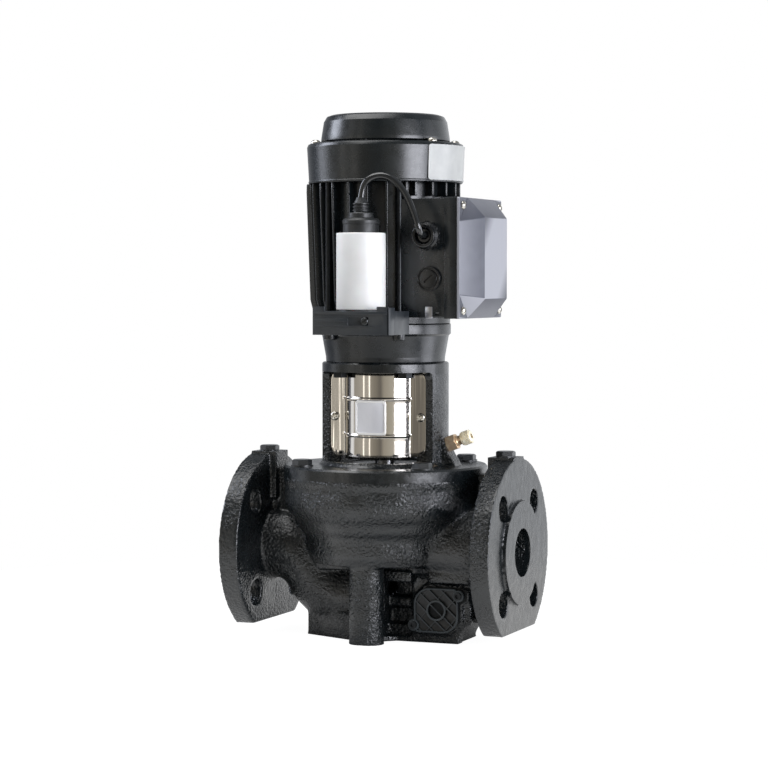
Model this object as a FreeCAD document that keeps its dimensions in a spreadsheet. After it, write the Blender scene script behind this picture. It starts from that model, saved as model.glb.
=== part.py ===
import FreeCAD, Part
import math
import os
import re

import Sketcher

# In-line circulation pump for a DN 32 pipe: a cast housing between two flanges, a motor stool with
# a split coupling behind two sheet guards, and a finned single-phase motor with its capacitor.
# The origin is the centre of the foot's underside, on the shaft axis; +Z is up and +X runs along
# the pipe to the discharge flange.

V = FreeCAD.Vector
Rotation = FreeCAD.Rotation

SIZES = {
    # pipe flanges, DN 32
    "face_to_face": 220,
    "port_height": 68,
    "port_bore": 36,
    "flange_width": 140,
    "flange_thick": 15,
    "raised_width": 78,
    "raised_step": 3,
    "flange_floor": 9.5,
    "bolt_circle": 100,
    "bolt_hole": 19,
    "suction_bolt_hole": 18.5,
    "inner_circle": 90,
    "inner_hole": 13.5,
    # cast pump housing
    "casting_wall": 9,
    "joint_height": 122.4,
    "joint_radius": 77.5,
    "shoulder_height": 84,
    "shoulder_radius": 66,
    "volute_radius": 60,
    "bowl_floor": 52,
    "chamber_radius": 60,
    "chamber_floor": 74,
    "throat_step": 1,
    "throat_depth": 42,
    "foot_inset": 13,
    "foot_waist": 17,
    "block_notch": 7,
    "web_foot": 15,
    "suction_height": 30,
    "suction_angle": 60,
    "elbow_end": 22,
    "column_offset": 44,
    "column_radius": 11,
    "column_tap": 5.1,
    "column_tap_depth": 22,
    "foot_height": 20,
    "foot_reach": 59,
    "block_reach": 74,
    "block_depth": 22,
    "block_top": 50,
    "gauge_width": 22,
    "gauge_hole": 9,
    "gauge_depth": 24,
    "gauge_boss_rise": 71.2,
    "gauge_boss_depth": 21,
    "gauge_head": 4.3,
    # service cover on the front of the housing
    "service_x": 52,
    "service_z": 25.4,
    "service_width": 34,
    "service_height": 33,
    "service_corner": 9,
    "service_ear": 4,
    "service_boss": 3,
    "service_thick": 4,
    "service_gasket_thick": 1,
    "service_screw": 3,
    "service_screw_head": 5.8,
    "service_screw_x": 17.7,
    "service_screw_z": 11.5,
    # cover disc, motor stool and their bolts
    "disc_thick": 9.1,
    "spigot_depth": 6,
    "spigot_clearance": 0.2,
    "ring_section": 3,
    "cover_bolt_circle": 136,
    "cover_bolt": 8,
    "bolt_clearance": 1,
    "stool_radius": 48,
    "stool_wall": 5.5,
    "stool_rise": 86.6,
    "stool_top": 5.5,
    "stool_hole": 30,
    "pillar_half_width": 17.2,
    "rib_inner": 30.8,
    "rib_half": 14.9,
    "window_foot": 3,
    # coupling guards
    "guard_radius": 30.4,
    "guard_sheet": 1,
    "guard_reach": 39,
    "guard_foot": 4.6,
    "guard_bead": 1.2,
    "guard_bead_rise": 0.8,
    "guard_bead_place": 22.6,
    "guard_bead_pitch": 27.5,
    "guard_screw_x": 34.8,
    "guard_screw": 4,
    "badge_width": 25,
    "badge_height": 26,
    "badge_thick": 1.1,
    # vent
    "vent_x": 51,
    "vent_rise": 16,
    "vent_tilt": 20,
    "vent_thread": 9.6,
    "vent_hex": 11,
    "vent_hex_length": 7.5,
    "vent_stub": 7,
    "vent_neck": 7,
    "vent_neck_length": 3.6,
    "vent_cap_gap": 0.4,
    "vent_cap": 10.6,
    "vent_cap_length": 8,
    "vent_bore": 4.4,
    # rotating parts of the pump
    "shaft": 16,
    "shaft_rise": 4,
    "shaft_grip": 20,
    "shaft_space": 4,
    "nut_thread": 12,
    "impeller_radius": 50,
    "impeller_gap": 3,
    "impeller_plate": 2.5,
    "impeller_height": 14,
    "impeller_hub": 13,
    "hub_sink": 14.4,
    "vane_count": 6,
    "vane_thick": 2,
    "vane_angle": 38,
    "wear_ring_outer": 50,
    "wear_ring_bore": 44,
    "wear_ring_gap": 0.3,
    "seal_seat_outer": 30,
    "seal_seat_depth": 4,
    "seal_bore_gap": 1.2,
    "seal_head_outer": 27,
    "seal_head_height": 6,
    "seal_face_gap": 0.3,
    # coupling
    "coupling_radius": 21,
    "coupling_rise": 14.5,
    "coupling_length": 46,
    "coupling_split": 0.75,
    "coupling_bolt": 6,
    "coupling_bolt_x": 14.5,
    "coupling_bolt_edge": 9,
    "coupling_seat": 14,
    # motor frame
    "shield_cone_length": 20,
    "shield_rim": 9,
    "shield_rim_radius": 49.5,
    "shield_cone_foot": 45,
    "shield_cone_top": 48,
    "shield_spigot": 3,
    "shield_wall": 5,
    "shield_base": 7,
    "motor_screw": 6,
    "motor_screw_circle": 74,
    "stator_length": 105.4,
    "stator_radius": 49,
    "core_radius": 44,
    "core_start": 26,
    "core_length": 52,
    "core_bore": 28.5,
    "winding_length": 12,
    "fin_reach": 58,
    "fin_foot_reach": 50.5,
    "fin_start": 5,
    "fin_thick": 2,
    "fin_pitch": 15,
    "fin_first": 52.5,
    "fin_count": 18,
    "pad_half": 19.5,
    "tie_bolt": 5,
    "tie_radius": 51.9,
    "tie_angle": 57,
    # rotor, shaft and bearings
    "rotor_radius": 28,
    "motor_shaft": 14,
    "journal": 15,
    "rotor_seat": 18,
    "shaft_tail": 33,
    "bearing_outer": 35,
    "bearing_width": 11,
    "bearing_race": 3,
    "bearing_gap": 0.3,
    "ball": 6,
    "ball_count": 8,
    "bearing_rise": 4,
    "bearing_sink": 2.4,
    "rear_plate": 4.6,
    # fan and covers
    "fan_radius": 46,
    "fan_rise": 14.6,
    "fan_plate": 2,
    "fan_blade": 10,
    "fan_blades": 7,
    "fan_hub": 10,
    "cover_foot_radius": 58.1,
    "cover_top_radius": 59.3,
    "cover_depth": 30.1,
    "cover_sheet": 1.6,
    "intake_radius": 40,
    "canopy_radius": 48.8,
    "canopy_top_radius": 46,
    "canopy_depth": 21.2,
    "canopy_gap": 1.2,
    "canopy_sheet": 2.4,
    "canopy_post": 6,
    "cover_screw_radius": 52.8,
    "cover_screw_angle": 27.8,
    "cover_screw": 5,
    "plate_margin": 1.4,
    "plate_width": 26.2,
    "plate_angle": 72,
    "plate_thick": 0.6,
    "plate_gap": 0.2,
    # terminal box
    "box_inner": 39,
    "box_step": 64,
    "box_front": 73.5,
    "box_half": 46,
    "box_start": 4.4,
    "box_length": 88.9,
    "box_wall": 3,
    "box_floor": 56,
    "box_rim": 0.8,
    "box_pit": 13,
    "box_pit_inset": 15,
    "box_gasket": 1,
    "lid_plate": 2,
    "lid_depth": 14,
    "lid_corner": 17.5,
    "lid_top_half_y": 25.2,
    "lid_top_half_z": 30.2,
    "lid_wall": 2.2,
    "lid_overhang": 0.8,
    "lid_screw": 4,
    "lid_screw_inset": 6,
    "terminal_pitch": 12.5,
    "terminal_base": 7,
    "terminal_stud": 3,
    "gland_x": 53.4,
    "gland_drop": 28.3,
    "gland_thread": 18.5,
    "gland_nut": 22,
    "gland_reach": 16,
    "gland_front": 17.5,
    "plug_x": 52.5,
    "plug_place": 29.3,
    "plug_head": 18.3,
    "plug_rise": 2.4,
    # capacitor, its bracket and its lead
    "can_x": 10.4,
    "can_y": -74.3,
    "can_radius": 18,
    "can_seat": 1,
    "can_length": 56,
    "collar_radius": 13,
    "collar_length": 10.7,
    "sleeve_length": 15,
    "lead_width": 5,
    "bracket_half": 29.5,
    "bracket_drop": 7,
    "bracket_depth": 17,
    "bracket_front": -95,
    "bracket_sheet": 2.5,
    "bracket_neck": 14,
    "bracket_screw": 5,
    "bracket_screw_x": 11,
    "bracket_lip": 9,
    "stud": 8,
}

# Heights above the floor, each built on the piece below it
HEIGHTS = {
    "stool_height": "joint_height + stool_rise",
    "guard_bead_low": "joint_height + disc_thick + guard_bead_place",
    "guard_bead_high": "guard_bead_low + guard_bead_pitch",
    "vent_z": "joint_height + disc_thick + vent_rise",
    "shaft_foot": "chamber_floor + shaft_rise",
    "hub_top": "joint_height - hub_sink",
    "coupling_low": "joint_height + disc_thick + coupling_rise",
    "coupling_high": "coupling_low + coupling_length",
    "shaft_top": "coupling_low + shaft_grip",
    "motor_shaft_low": "shaft_top + shaft_space",
    "shield_rim_low": "stool_height + shield_cone_length",
    "shield_rim_high": "shield_rim_low + shield_rim",
    "shield_floor": "stool_height + shield_base",
    "lower_bearing": "shield_floor + bearing_rise",
    "fin_foot": "shield_rim_high + fin_start",
    "stator_top": "shield_rim_high + stator_length",
    "core_low": "shield_rim_high + core_start",
    "core_high": "core_low + core_length",
    "upper_bearing": "stator_top - bearing_sink",
    "motor_shaft_high": "upper_bearing + shaft_tail",
    "fan_low": "stator_top + fan_rise",
    "cover_top": "stator_top + cover_depth",
    "canopy_top": "cover_top + canopy_depth",
    "plate_low": "stator_top + plate_margin",
    "plate_high": "plate_low + plate_width",
    "box_low": "shield_rim_high + box_start",
    "box_high": "box_low + box_length",
    "gland_z": "box_high - gland_drop",
    "plug_z": "box_low + plug_place",
    "bracket_low": "shield_rim_high - bracket_drop",
    "bracket_high": "bracket_low + bracket_depth",
    "can_low": "bracket_high + can_seat",
    "can_high": "can_low + can_length",
    "collar_top": "can_high + collar_length",
    "sleeve_top": "collar_top + sleeve_length",
}

doc = FreeCAD.newDocument("CirculationPump")
sheet = doc.addObject("Spreadsheet::Sheet", "Sizes")
cells = {**SIZES, **{alias: f"={text}" for alias, text in HEIGHTS.items()}}
for row, (alias, value) in enumerate(cells.items(), start=1):
    sheet.set(f"A{row}", alias)
    sheet.set(f"B{row}", str(value))
    sheet.setAlias(f"B{row}", alias)
doc.recompute()

MATHS = {"cos", "sin", "tan", "sqrt", "acos", "asin", "abs", "min", "max"}
parts = []


def formula(text):
    """The text with every word that is a size turned into its cell."""
    return re.sub(r"[a-z]\w*", lambda m: m[0] if m[0] in MATHS else f"Sizes.{m[0]}", str(text))


def worth(text):
    """The value of a formula, in millimetres or degrees."""
    return float(sheet.evalExpression(formula(text)))


def bind(obj, prop, text):
    obj.setExpression(prop, formula(text))


# Bodies, sketches and features


def new_body(label):
    body = doc.addObject("PartDesign::Body", label)
    body.Label = label
    parts.append(body)
    return body


def origin(body, role):
    return next(o for o in body.Origin.OriginFeatures if o.Role == role)


def sketch(body, plane, lift=0, rise=0, turn=None):
    """A sketch on one of the body's origin planes, lifted along the plane's normal, with its own
    origin raised along the plane's second axis, and turned about that axis or the first one."""
    sk = body.newObject("Sketcher::SketchObject", "sketch")
    sk.AttachmentSupport = [(origin(body, plane + "_Plane"), "")]
    sk.MapMode = "FlatFace"
    if turn:
        axis, angle = turn
        sk.AttachmentOffset = FreeCAD.Placement(V(), Rotation(axis, worth(angle)))
        bind(sk, "AttachmentOffset.Rotation.Angle", angle)
    bind(sk, "AttachmentOffset.Base.y", rise)
    bind(sk, "AttachmentOffset.Base.z", lift)
    return sk


def fix_point(sk, index, end, x, y):
    """Dimensions one point of the sketch from its origin."""
    for kind, text in (("DistanceX", x), ("DistanceY", y)):
        value = worth(text)
        if str(text) == "0":
            axis_line = -2 if kind == "DistanceX" else -1
            sk.addConstraint(Sketcher.Constraint("PointOnObject", index, end, axis_line))
            continue
        first, second = ((-1, 1), (index, end)) if value >= 0 else ((index, end), (-1, 1))
        number = sk.addConstraint(Sketcher.Constraint(kind, *first, *second, abs(value)))
        bind(sk, f"Constraints[{number}]", text if value >= 0 else f"-({text})")


def outline(sk, points):
    """A closed outline of straight edges through the points."""
    places = [V(worth(x), worth(y), 0) for x, y in points]
    first = sk.GeometryCount
    count = len(points)
    for i in range(count):
        sk.addGeometry(Part.LineSegment(places[i], places[(i + 1) % count]), False)
    for i in range(count):
        sk.addConstraint(Sketcher.Constraint("Coincident", first + i, 2, first + (i + 1) % count, 1))
    for i, (x, y) in enumerate(points):
        fix_point(sk, first + i, 1, x, y)


def circle(sk, x, y, radius):
    centre = V(worth(x), worth(y), 0)
    index = sk.addGeometry(Part.Circle(centre, V(0, 0, 1), worth(radius)), False)
    fix_point(sk, index, 3, x, y)
    number = sk.addConstraint(Sketcher.Constraint("Radius", index, worth(radius)))
    bind(sk, f"Constraints[{number}]", radius)


def hexagon(sk, x, y, flats):
    """A hexagon, by its width across flats."""
    corners = []
    for k in range(6):
        angle = 60 * k
        corners.append((f"{x} + ({flats}) / 2 / cos(30) * cos({angle})",
                        f"{y} + ({flats}) / 2 / cos(30) * sin({angle})"))
    outline(sk, corners)


def box_outline(sk, x_low, x_high, y_low, y_high):
    outline(sk, [(x_low, y_low), (x_high, y_low), (x_high, y_high), (x_low, y_high)])


def pad(body, sk, length, reverse=False, both=False):
    feature = body.newObject("PartDesign::Pad", "pad")
    feature.Profile = sk
    feature.Reversed = reverse
    feature.SideType = "Symmetric" if both else "One side"
    bind(feature, "Length", length)
    return feature


def pocket(body, sk, length, reverse=False, both=False):
    """Cuts against the sketch's normal, along it when reversed, or both ways."""
    feature = body.newObject("PartDesign::Pocket", "pocket")
    feature.Profile = sk
    feature.Reversed = reverse
    feature.SideType = "Symmetric" if both else "One side"
    bind(feature, "Length", length)
    return feature


def spin(body, sk, axis="V_Axis", angle=360, reverse=False, both=False, cut=False):
    """Turns the sketch about its own axis, adding to the body or cutting it."""
    feature = body.newObject("PartDesign::Groove" if cut else "PartDesign::Revolution", "turned")
    feature.Profile = sk
    feature.ReferenceAxis = (sk, [axis])
    feature.Reversed = reverse
    feature.Midplane = both
    bind(feature, "Angle", angle)
    return feature


def around(body, features, count, angle=360, axis="Z_Axis"):
    """Repeats features about the body's axis."""
    pattern = body.newObject("PartDesign::PolarPattern", "around")
    pattern.Originals = features
    pattern.Axis = (origin(body, axis), [""])
    bind(pattern, "Angle", angle)
    bind(pattern, "Occurrences", count)
    body.Tip = pattern
    return pattern


def turned(label, points):
    """A body turned about the vertical axis from an outline of (radius, height) points."""
    body = new_body(label)
    sk = sketch(body, "XZ")
    outline(sk, points)
    spin(body, sk)
    return body


def four_places(radius, angle):
    """Four places on a circle, the same angle either side of the X axis."""
    return [(f"{x_side} * {radius} * cos({angle})", f"{y_side} * {radius} * sin({angle})")
            for x_side in (-1, 1) for y_side in (-1, 1)]


def four_circles(sk, radius, angle, hole):
    for x, y in four_places(radius, angle):
        circle(sk, x, y, hole)


def four_screws(label, radius, angle, size, head, head_low, head_high, tip):
    """Four vertical hexagon screws; the shank leaves the head's low face or its high one."""
    body = new_body(label)
    heads = sketch(body, "XY", head_low)
    for x, y in four_places(radius, angle):
        hexagon(heads, x, y, head)
    pad(body, heads, f"{head_high} - ({head_low})")
    down = worth(tip) < worth(head_low)
    shanks = sketch(body, "XY", head_low if down else head_high)
    four_circles(shanks, radius, angle, f"({size}) / 2")
    pad(body, shanks, f"{head_low} - ({tip})" if down else f"{tip} - ({head_high})", reverse=down)
    return body


# Pump housing: one iron casting with both flanges, the volute bowl, the suction elbow and the foot


def flange(body, side):
    """One pipe flange with its raised face; side is 1 for the discharge and -1 for the suction."""
    back = f"{side} * (face_to_face / 2 - raised_step - flange_thick)"
    plate = sketch(body, "YZ", back, "port_height")
    circle(plate, 0, 0, "flange_width / 2")
    pad(body, plate, "flange_thick", reverse=side < 0)
    face = sketch(body, "YZ", f"{side} * (face_to_face / 2 - raised_step)", "port_height")
    circle(face, 0, 0, "raised_width / 2")
    pad(body, face, "raised_step", reverse=side < 0)
    boss = sketch(body, "YZ", f"{side} * (face_to_face / 2 - raised_step)", "port_height")
    box_outline(boss, "-gauge_width / 2", "gauge_width / 2", "flange_width / 4", "gauge_boss_rise")
    pad(body, boss, "gauge_boss_depth", reverse=side > 0)


def gauge_place(side):
    """How far along the pipe a flange's gauge tapping stands, in the middle of its boss."""
    return f"{side} * (face_to_face / 2 - raised_step - gauge_boss_depth / 2)"


def flange_holes(body, side):
    """The four bolt holes, the smaller ones that run into them, and the flat cut underneath."""
    front = f"{side} * face_to_face / 2"
    depth = "flange_thick + raised_step + 1"
    bolt_hole = "bolt_hole" if side > 0 else "suction_bolt_hole"
    for pitch, width in (("bolt_circle", bolt_hole), ("inner_circle", "inner_hole")):
        holes = sketch(body, "YZ", front, "port_height")
        for y_side in (-1, 1):
            for z_side in (-1, 1):
                circle(holes, f"{y_side} * {pitch} / 2 * cos(45)",
                       f"{z_side} * {pitch} / 2 * sin(45)", f"{width} / 2")
        pocket(body, holes, depth, reverse=side < 0)
    under = sketch(body, "YZ", front)
    box_outline(under, "-flange_width / 2", "flange_width / 2", "-flange_width / 2", "flange_floor")
    pocket(body, under, depth, reverse=side < 0)


def bend(body, x, height, radius, tube, down, cut):
    """An arc of round tube in the XZ plane, level at one end, that leads down or comes from above."""
    axis_height = f"{height} - {radius}" if down else f"{height} + {radius}"
    sk = sketch(body, "YZ", x, axis_height)
    circle(sk, 0, radius if down else f"-({radius})", tube)
    spin(body, sk, "H_Axis", "suction_angle", cut=cut)


def suction_elbow(body, tube, cut):
    """The suction passage or the casting round it, from the flange down to the centre."""
    radius = "(port_height - suction_height) / 2 / (1 - cos(suction_angle))"
    start = f"-elbow_end - 2 * {radius} * sin(suction_angle)"
    mouth = "-face_to_face / 2" if cut else "-face_to_face / 2 + raised_step"
    inlet = sketch(body, "YZ", mouth, "port_height")
    circle(inlet, 0, 0, tube)
    length = f"{start} + face_to_face / 2"
    if cut:
        pocket(body, inlet, length, reverse=True)
    else:
        pad(body, inlet, f"{length} - raised_step")
    bend(body, start, "port_height", radius, tube, True, cut)
    bend(body, "-elbow_end", "suction_height", radius, tube, False, cut)
    level = sketch(body, "YZ", "-elbow_end", "suction_height")
    circle(level, 0, 0, tube)
    if cut:
        pocket(body, level, "elbow_end", reverse=True)
    else:
        pad(body, level, "elbow_end")


def pump_housing():
    body = new_body("pump_housing")
    bowl = sketch(body, "XZ")
    outline(bowl, [(0, "bowl_floor"), ("volute_radius - 8", "bowl_floor"),
                   ("volute_radius - 1", "bowl_floor + 13"), ("volute_radius", "shoulder_height - 5"),
                   ("shoulder_radius", "shoulder_height"), ("joint_radius - 5", "shoulder_height + 19"),
                   ("joint_radius - 1", "joint_height - 5"), ("joint_radius", "joint_height - 4"),
                   ("joint_radius", "joint_height"), (0, "joint_height")])
    spin(body, bowl)

    neck = sketch(body, "YZ", "volute_radius / 2", "port_height")
    circle(neck, 0, 0, "port_bore / 2 + casting_wall")
    pad(body, neck, "face_to_face / 2 - volute_radius / 2 - raised_step")
    suction_elbow(body, "port_bore / 2 + casting_wall", cut=False)
    tower = sketch(body, "XY")
    circle(tower, 0, 0, "port_bore / 2 + casting_wall")
    pad(body, tower, "bowl_floor + 2")
    columns = sketch(body, "XY")
    for side in (-1, 1):
        circle(columns, 0, f"{side} * column_offset", "column_radius")
    pad(body, columns, "bowl_floor + 12")
    web = sketch(body, "XY")
    box_outline(web, "-column_radius / 2", "column_radius / 2", "-column_offset", "column_offset")
    pad(body, web, "bowl_floor + 2")

    foot = sketch(body, "XY")
    outline(foot, [("-foot_reach", "-foot_inset"), ("-foot_waist", "-column_offset + foot_inset"),
                   (0, "-column_offset + column_radius / 2"), ("port_bore / 2", "-block_depth"),
                   ("port_bore / 2", "block_depth"), (0, "column_offset - column_radius / 2"),
                   ("-foot_waist", "column_offset - foot_inset"), ("-foot_reach", "foot_inset")])
    pad(body, foot, "foot_height")
    block = sketch(body, "XZ")
    outline(block, [("port_bore / 2", 0), ("block_reach - block_notch", 0),
                    ("block_reach - block_notch + 1", "web_foot / 2"), ("block_reach - 2", "web_foot - 2"),
                    ("block_reach + 3", "web_foot"), ("block_reach + 3", "block_top - block_notch"),
                    ("block_reach - block_notch", "block_top"), ("port_bore / 2", "block_top")])
    pad(body, block, "2 * block_depth", both=True)
    web = sketch(body, "XZ")
    box_outline(web, "block_reach", "face_to_face / 2 - raised_step - 1", "web_foot", "port_height")
    pad(body, web, "port_bore * 2 / 3", both=True)
    for side in (-1, 1):
        flange(body, side)
    boss = sketch(body, "XZ", "block_depth")
    cover_outline(boss, 2)
    pad(body, boss, "service_boss")

    # passages and machined faces
    for side in (-1, 1):
        flange_holes(body, side)
    suction_elbow(body, "port_bore / 2", cut=True)
    outlet = sketch(body, "YZ", "face_to_face / 2", "port_height")
    circle(outlet, 0, 0, "port_bore / 2")
    pocket(body, outlet, "face_to_face / 2 - volute_radius")
    throat = sketch(body, "YZ", "volute_radius", "port_height")
    circle(throat, 0, 0, "port_bore / 2 - throat_step")
    pocket(body, throat, "volute_radius - throat_depth")
    chamber = sketch(body, "XZ")
    outline(chamber, [(0, "suction_height"), ("port_bore / 2", "suction_height"),
                      ("port_bore / 2", "chamber_floor - 10"),
                      ("wear_ring_outer / 2", "chamber_floor - 8"),
                      ("wear_ring_outer / 2", "chamber_floor"), ("volute_radius - 7", "chamber_floor"),
                      ("volute_radius - 6", "shoulder_height - 2"),
                      ("chamber_radius", "shoulder_height + 2"),
                      ("chamber_radius", "joint_height"), (0, "joint_height")])
    spin(body, chamber, cut=True)
    seat = sketch(body, "XZ")
    box_outline(seat, "chamber_radius - 1", "chamber_radius + ring_section - 0.5",
                "joint_height - ring_section + 0.5", "joint_height")
    spin(body, seat, cut=True)

    taps = sketch(body, "XY", "joint_height")
    four_circles(taps, "cover_bolt_circle / 2", 45, "cover_bolt / 2")
    pocket(body, taps, "2 * cover_bolt")
    bolts = sketch(body, "XY")
    for side in (-1, 1):
        circle(bolts, 0, f"{side} * column_offset", "column_tap")
    pocket(body, bolts, "column_tap_depth", reverse=True)
    for side in (-1, 1):
        gauge = sketch(body, "XY", "port_height + gauge_boss_rise")
        circle(gauge, gauge_place(side), 0, "gauge_hole / 2")
        pocket(body, gauge, "gauge_depth")
    cavity = sketch(body, "XZ", "block_depth + service_boss")
    circle(cavity, "service_x", "service_z", "service_width / 4")
    pocket(body, cavity, "service_boss + 12")
    screws = sketch(body, "XZ", "block_depth + service_boss")
    service_screw_circles(screws, "service_screw / 2")
    pocket(body, screws, "service_boss + 5")


def cover_outline(sk, grow):
    """The service cover's outline, with two cut corners and an ear at each of the others."""
    left, right = f"service_x - service_width / 2 - {grow}", f"service_x + service_width / 2 + {grow}"
    low, high = f"service_z - service_height / 2 - {grow}", f"service_z + service_height / 2 + {grow}"
    cut = "service_corner"
    ear_left = f"service_x - service_screw_x - service_ear - 0.5 - {grow}"
    ear_right = f"service_x + service_screw_x + service_ear + 0.5 + {grow}"
    upper, lower = "service_z + service_screw_z", "service_z - service_screw_z"
    outline(sk, [(left, f"{high} - {cut}"), (f"{left} + {cut}", high), (f"{right} - 3", high),
                 (ear_right, f"{upper} + service_ear"), (ear_right, f"{upper} - service_ear"),
                 (right, f"{upper} - service_ear - 3"), (right, f"{low} + {cut}"),
                 (f"{right} - {cut}", low), (f"{left} + 3", low),
                 (ear_left, f"{lower} - service_ear"), (ear_left, f"{lower} + service_ear"),
                 (left, f"{lower} + service_ear + 3")])


def service_screw_circles(sk, radius):
    for side in (-1, 1):
        circle(sk, f"service_x + {side} * service_screw_x", f"service_z + {side} * service_screw_z", radius)


def service_cover():
    """A ribbed plastic cover with a paper gasket under it and two socket screws."""
    front = "block_depth + service_boss"
    gasket = new_body("service_cover_gasket")
    sheet_outline = sketch(gasket, "XZ", front)
    cover_outline(sheet_outline, 0.8)
    pad(gasket, sheet_outline, "service_gasket_thick")
    cover = new_body("service_cover")
    plate = sketch(cover, "XZ", f"{front} + service_gasket_thick")
    cover_outline(plate, 0)
    pad(cover, plate, "service_thick")
    pan = sketch(cover, "XZ", f"{front} + service_gasket_thick + service_thick")
    circle(pan, "service_x", "service_z", "service_height / 2 - 2.5")
    pocket(cover, pan, "service_thick / 2")
    hub = sketch(cover, "XZ", f"{front} + service_gasket_thick + service_thick / 2")
    circle(hub, "service_x", "service_z", "service_width / 4")
    circle(hub, "service_x", "service_z", "service_width / 4 - 1.2")
    pad(cover, hub, "service_thick / 2")
    top = f"{front} + service_gasket_thick + service_thick"
    for body, lift, depth in ((gasket, f"{front} + service_gasket_thick", "service_gasket_thick"),
                              (cover, top, "service_thick")):
        holes = sketch(body, "XZ", lift)
        service_screw_circles(holes, "service_screw / 2 + 0.2")
        pocket(body, holes, depth)
    screws = new_body("service_cover_screws")
    heads = sketch(screws, "XZ", top)
    service_screw_circles(heads, "service_screw_head / 2")
    pad(screws, heads, "0.7 * service_screw")
    shanks = sketch(screws, "XZ", f"{front} - 1.5 * service_screw")
    service_screw_circles(shanks, "service_screw / 2 - 0.05")
    pad(screws, shanks, "service_gasket_thick + service_thick + 1.5 * service_screw")
    sockets = sketch(screws, "XZ", f"{top} + 0.7 * service_screw")
    for side in (-1, 1):
        hexagon(sockets, f"service_x + {side} * service_screw_x",
                f"service_z + {side} * service_screw_z", "service_screw_head / 2")
    pocket(screws, sockets, "0.5 * service_screw")


def gauge_plugs():
    """Hexagon plugs in the gauge tappings on top of both flanges."""
    body = new_body("gauge_plugs")
    seat = "port_height + gauge_boss_rise"
    for side in (-1, 1):
        x = gauge_place(side)
        head = sketch(body, "XY", seat)
        hexagon(head, x, 0, "gauge_hole + 4")
        pad(body, head, "gauge_head")
        stem = sketch(body, "XY", seat)
        circle(stem, x, 0, "gauge_hole / 2 - 0.1")
        pad(body, stem, "gauge_depth / 2", reverse=True)


# Motor stool: the cover disc, two pillars and the top ring in one casting


def motor_stool():
    low = "joint_height - spigot_depth"
    disc_top = "joint_height + disc_thick"
    top = "stool_height - stool_top"
    body = turned("motor_stool", [
        ("seal_seat_outer / 2", low), ("chamber_radius - spigot_clearance - 1.2", low),
        ("chamber_radius - spigot_clearance - 1.2", "joint_height"), ("joint_radius", "joint_height"),
        ("joint_radius", f"{disc_top} - 1.5"), ("joint_radius - 1.5", disc_top),
        ("stool_radius + 3", disc_top), ("stool_radius", f"{disc_top} + 3"),
        ("stool_radius", "stool_height - 1"), ("stool_radius - 1", "stool_height"),
        ("stool_hole", "stool_height"), ("stool_hole", top), ("stool_radius - stool_wall", top),
        ("stool_radius - stool_wall", disc_top), ("shaft / 2 + 2", disc_top),
        ("shaft / 2 + 2", f"{low} + seal_seat_depth + 6"),
        ("seal_seat_outer / 2", f"{low} + seal_seat_depth + 6")])
    ribs = sketch(body, "XY", f"{disc_top} - 0.5")
    for side in (-1, 1):
        inner, outer = f"{side} * rib_inner", f"{side} * (stool_radius - stool_wall / 2)"
        first, second = (inner, outer) if side > 0 else (outer, inner)
        box_outline(ribs, first, second, "-rib_half", "rib_half")
    pad(body, ribs, f"{top} - ({disc_top}) + 1")
    wedge = sketch(body, "XZ")
    reach = "vent_x + 0.6"
    outline(wedge, [("stool_radius - stool_wall / 2", f"{disc_top} - 1"),
                    (f"{reach} + 8", f"{disc_top} - 1"), (f"{reach} + 6", f"{disc_top} + 3"),
                    ("vent_x + 6.5 * sin(vent_tilt)", "vent_z - 6.5 * cos(vent_tilt)"),
                    ("vent_x - 6.5 * sin(vent_tilt)", "vent_z + 6.5 * cos(vent_tilt)"),
                    ("stool_radius - stool_wall / 2", "vent_z + 9")])
    pad(body, wedge, 15, both=True)
    for side in (-1, 1):
        cut = sketch(body, "XZ", f"{side} * (stool_radius + 2)")
        box_outline(cut, "-stool_radius - 0.5", "stool_radius + 0.5",
                    f"{disc_top} + window_foot", f"{top} - 1.5")
        pocket(body, cut, "stool_radius + 2 - pillar_half_width", reverse=side < 0)
    bolts = sketch(body, "XY", disc_top)
    four_circles(bolts, "cover_bolt_circle / 2", 45, "(cover_bolt + bolt_clearance) / 2")
    pocket(body, bolts, "disc_thick + 1")
    motor = sketch(body, "XY", "stool_height")
    four_circles(motor, "motor_screw_circle / 2", 45, "(motor_screw + bolt_clearance) / 2")
    pocket(body, motor, "stool_top + 1")
    for side in (-1, 1):
        guard = sketch(body, "XZ", f"{side} * rib_half")
        for x_side in (-1, 1):
            circle(guard, f"{x_side} * guard_screw_x", "(guard_bead_low + guard_bead_high) / 2",
                   "guard_screw / 2 - 0.3")
        pocket(body, guard, 8, reverse=side < 0)
    vent = sketch(body, "YZ", "vent_x", "vent_z", (V(1, 0, 0), "-vent_tilt"))
    circle(vent, 0, 0, "vent_thread / 2")
    pocket(body, vent, "vent_stub + 0.5")


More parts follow.
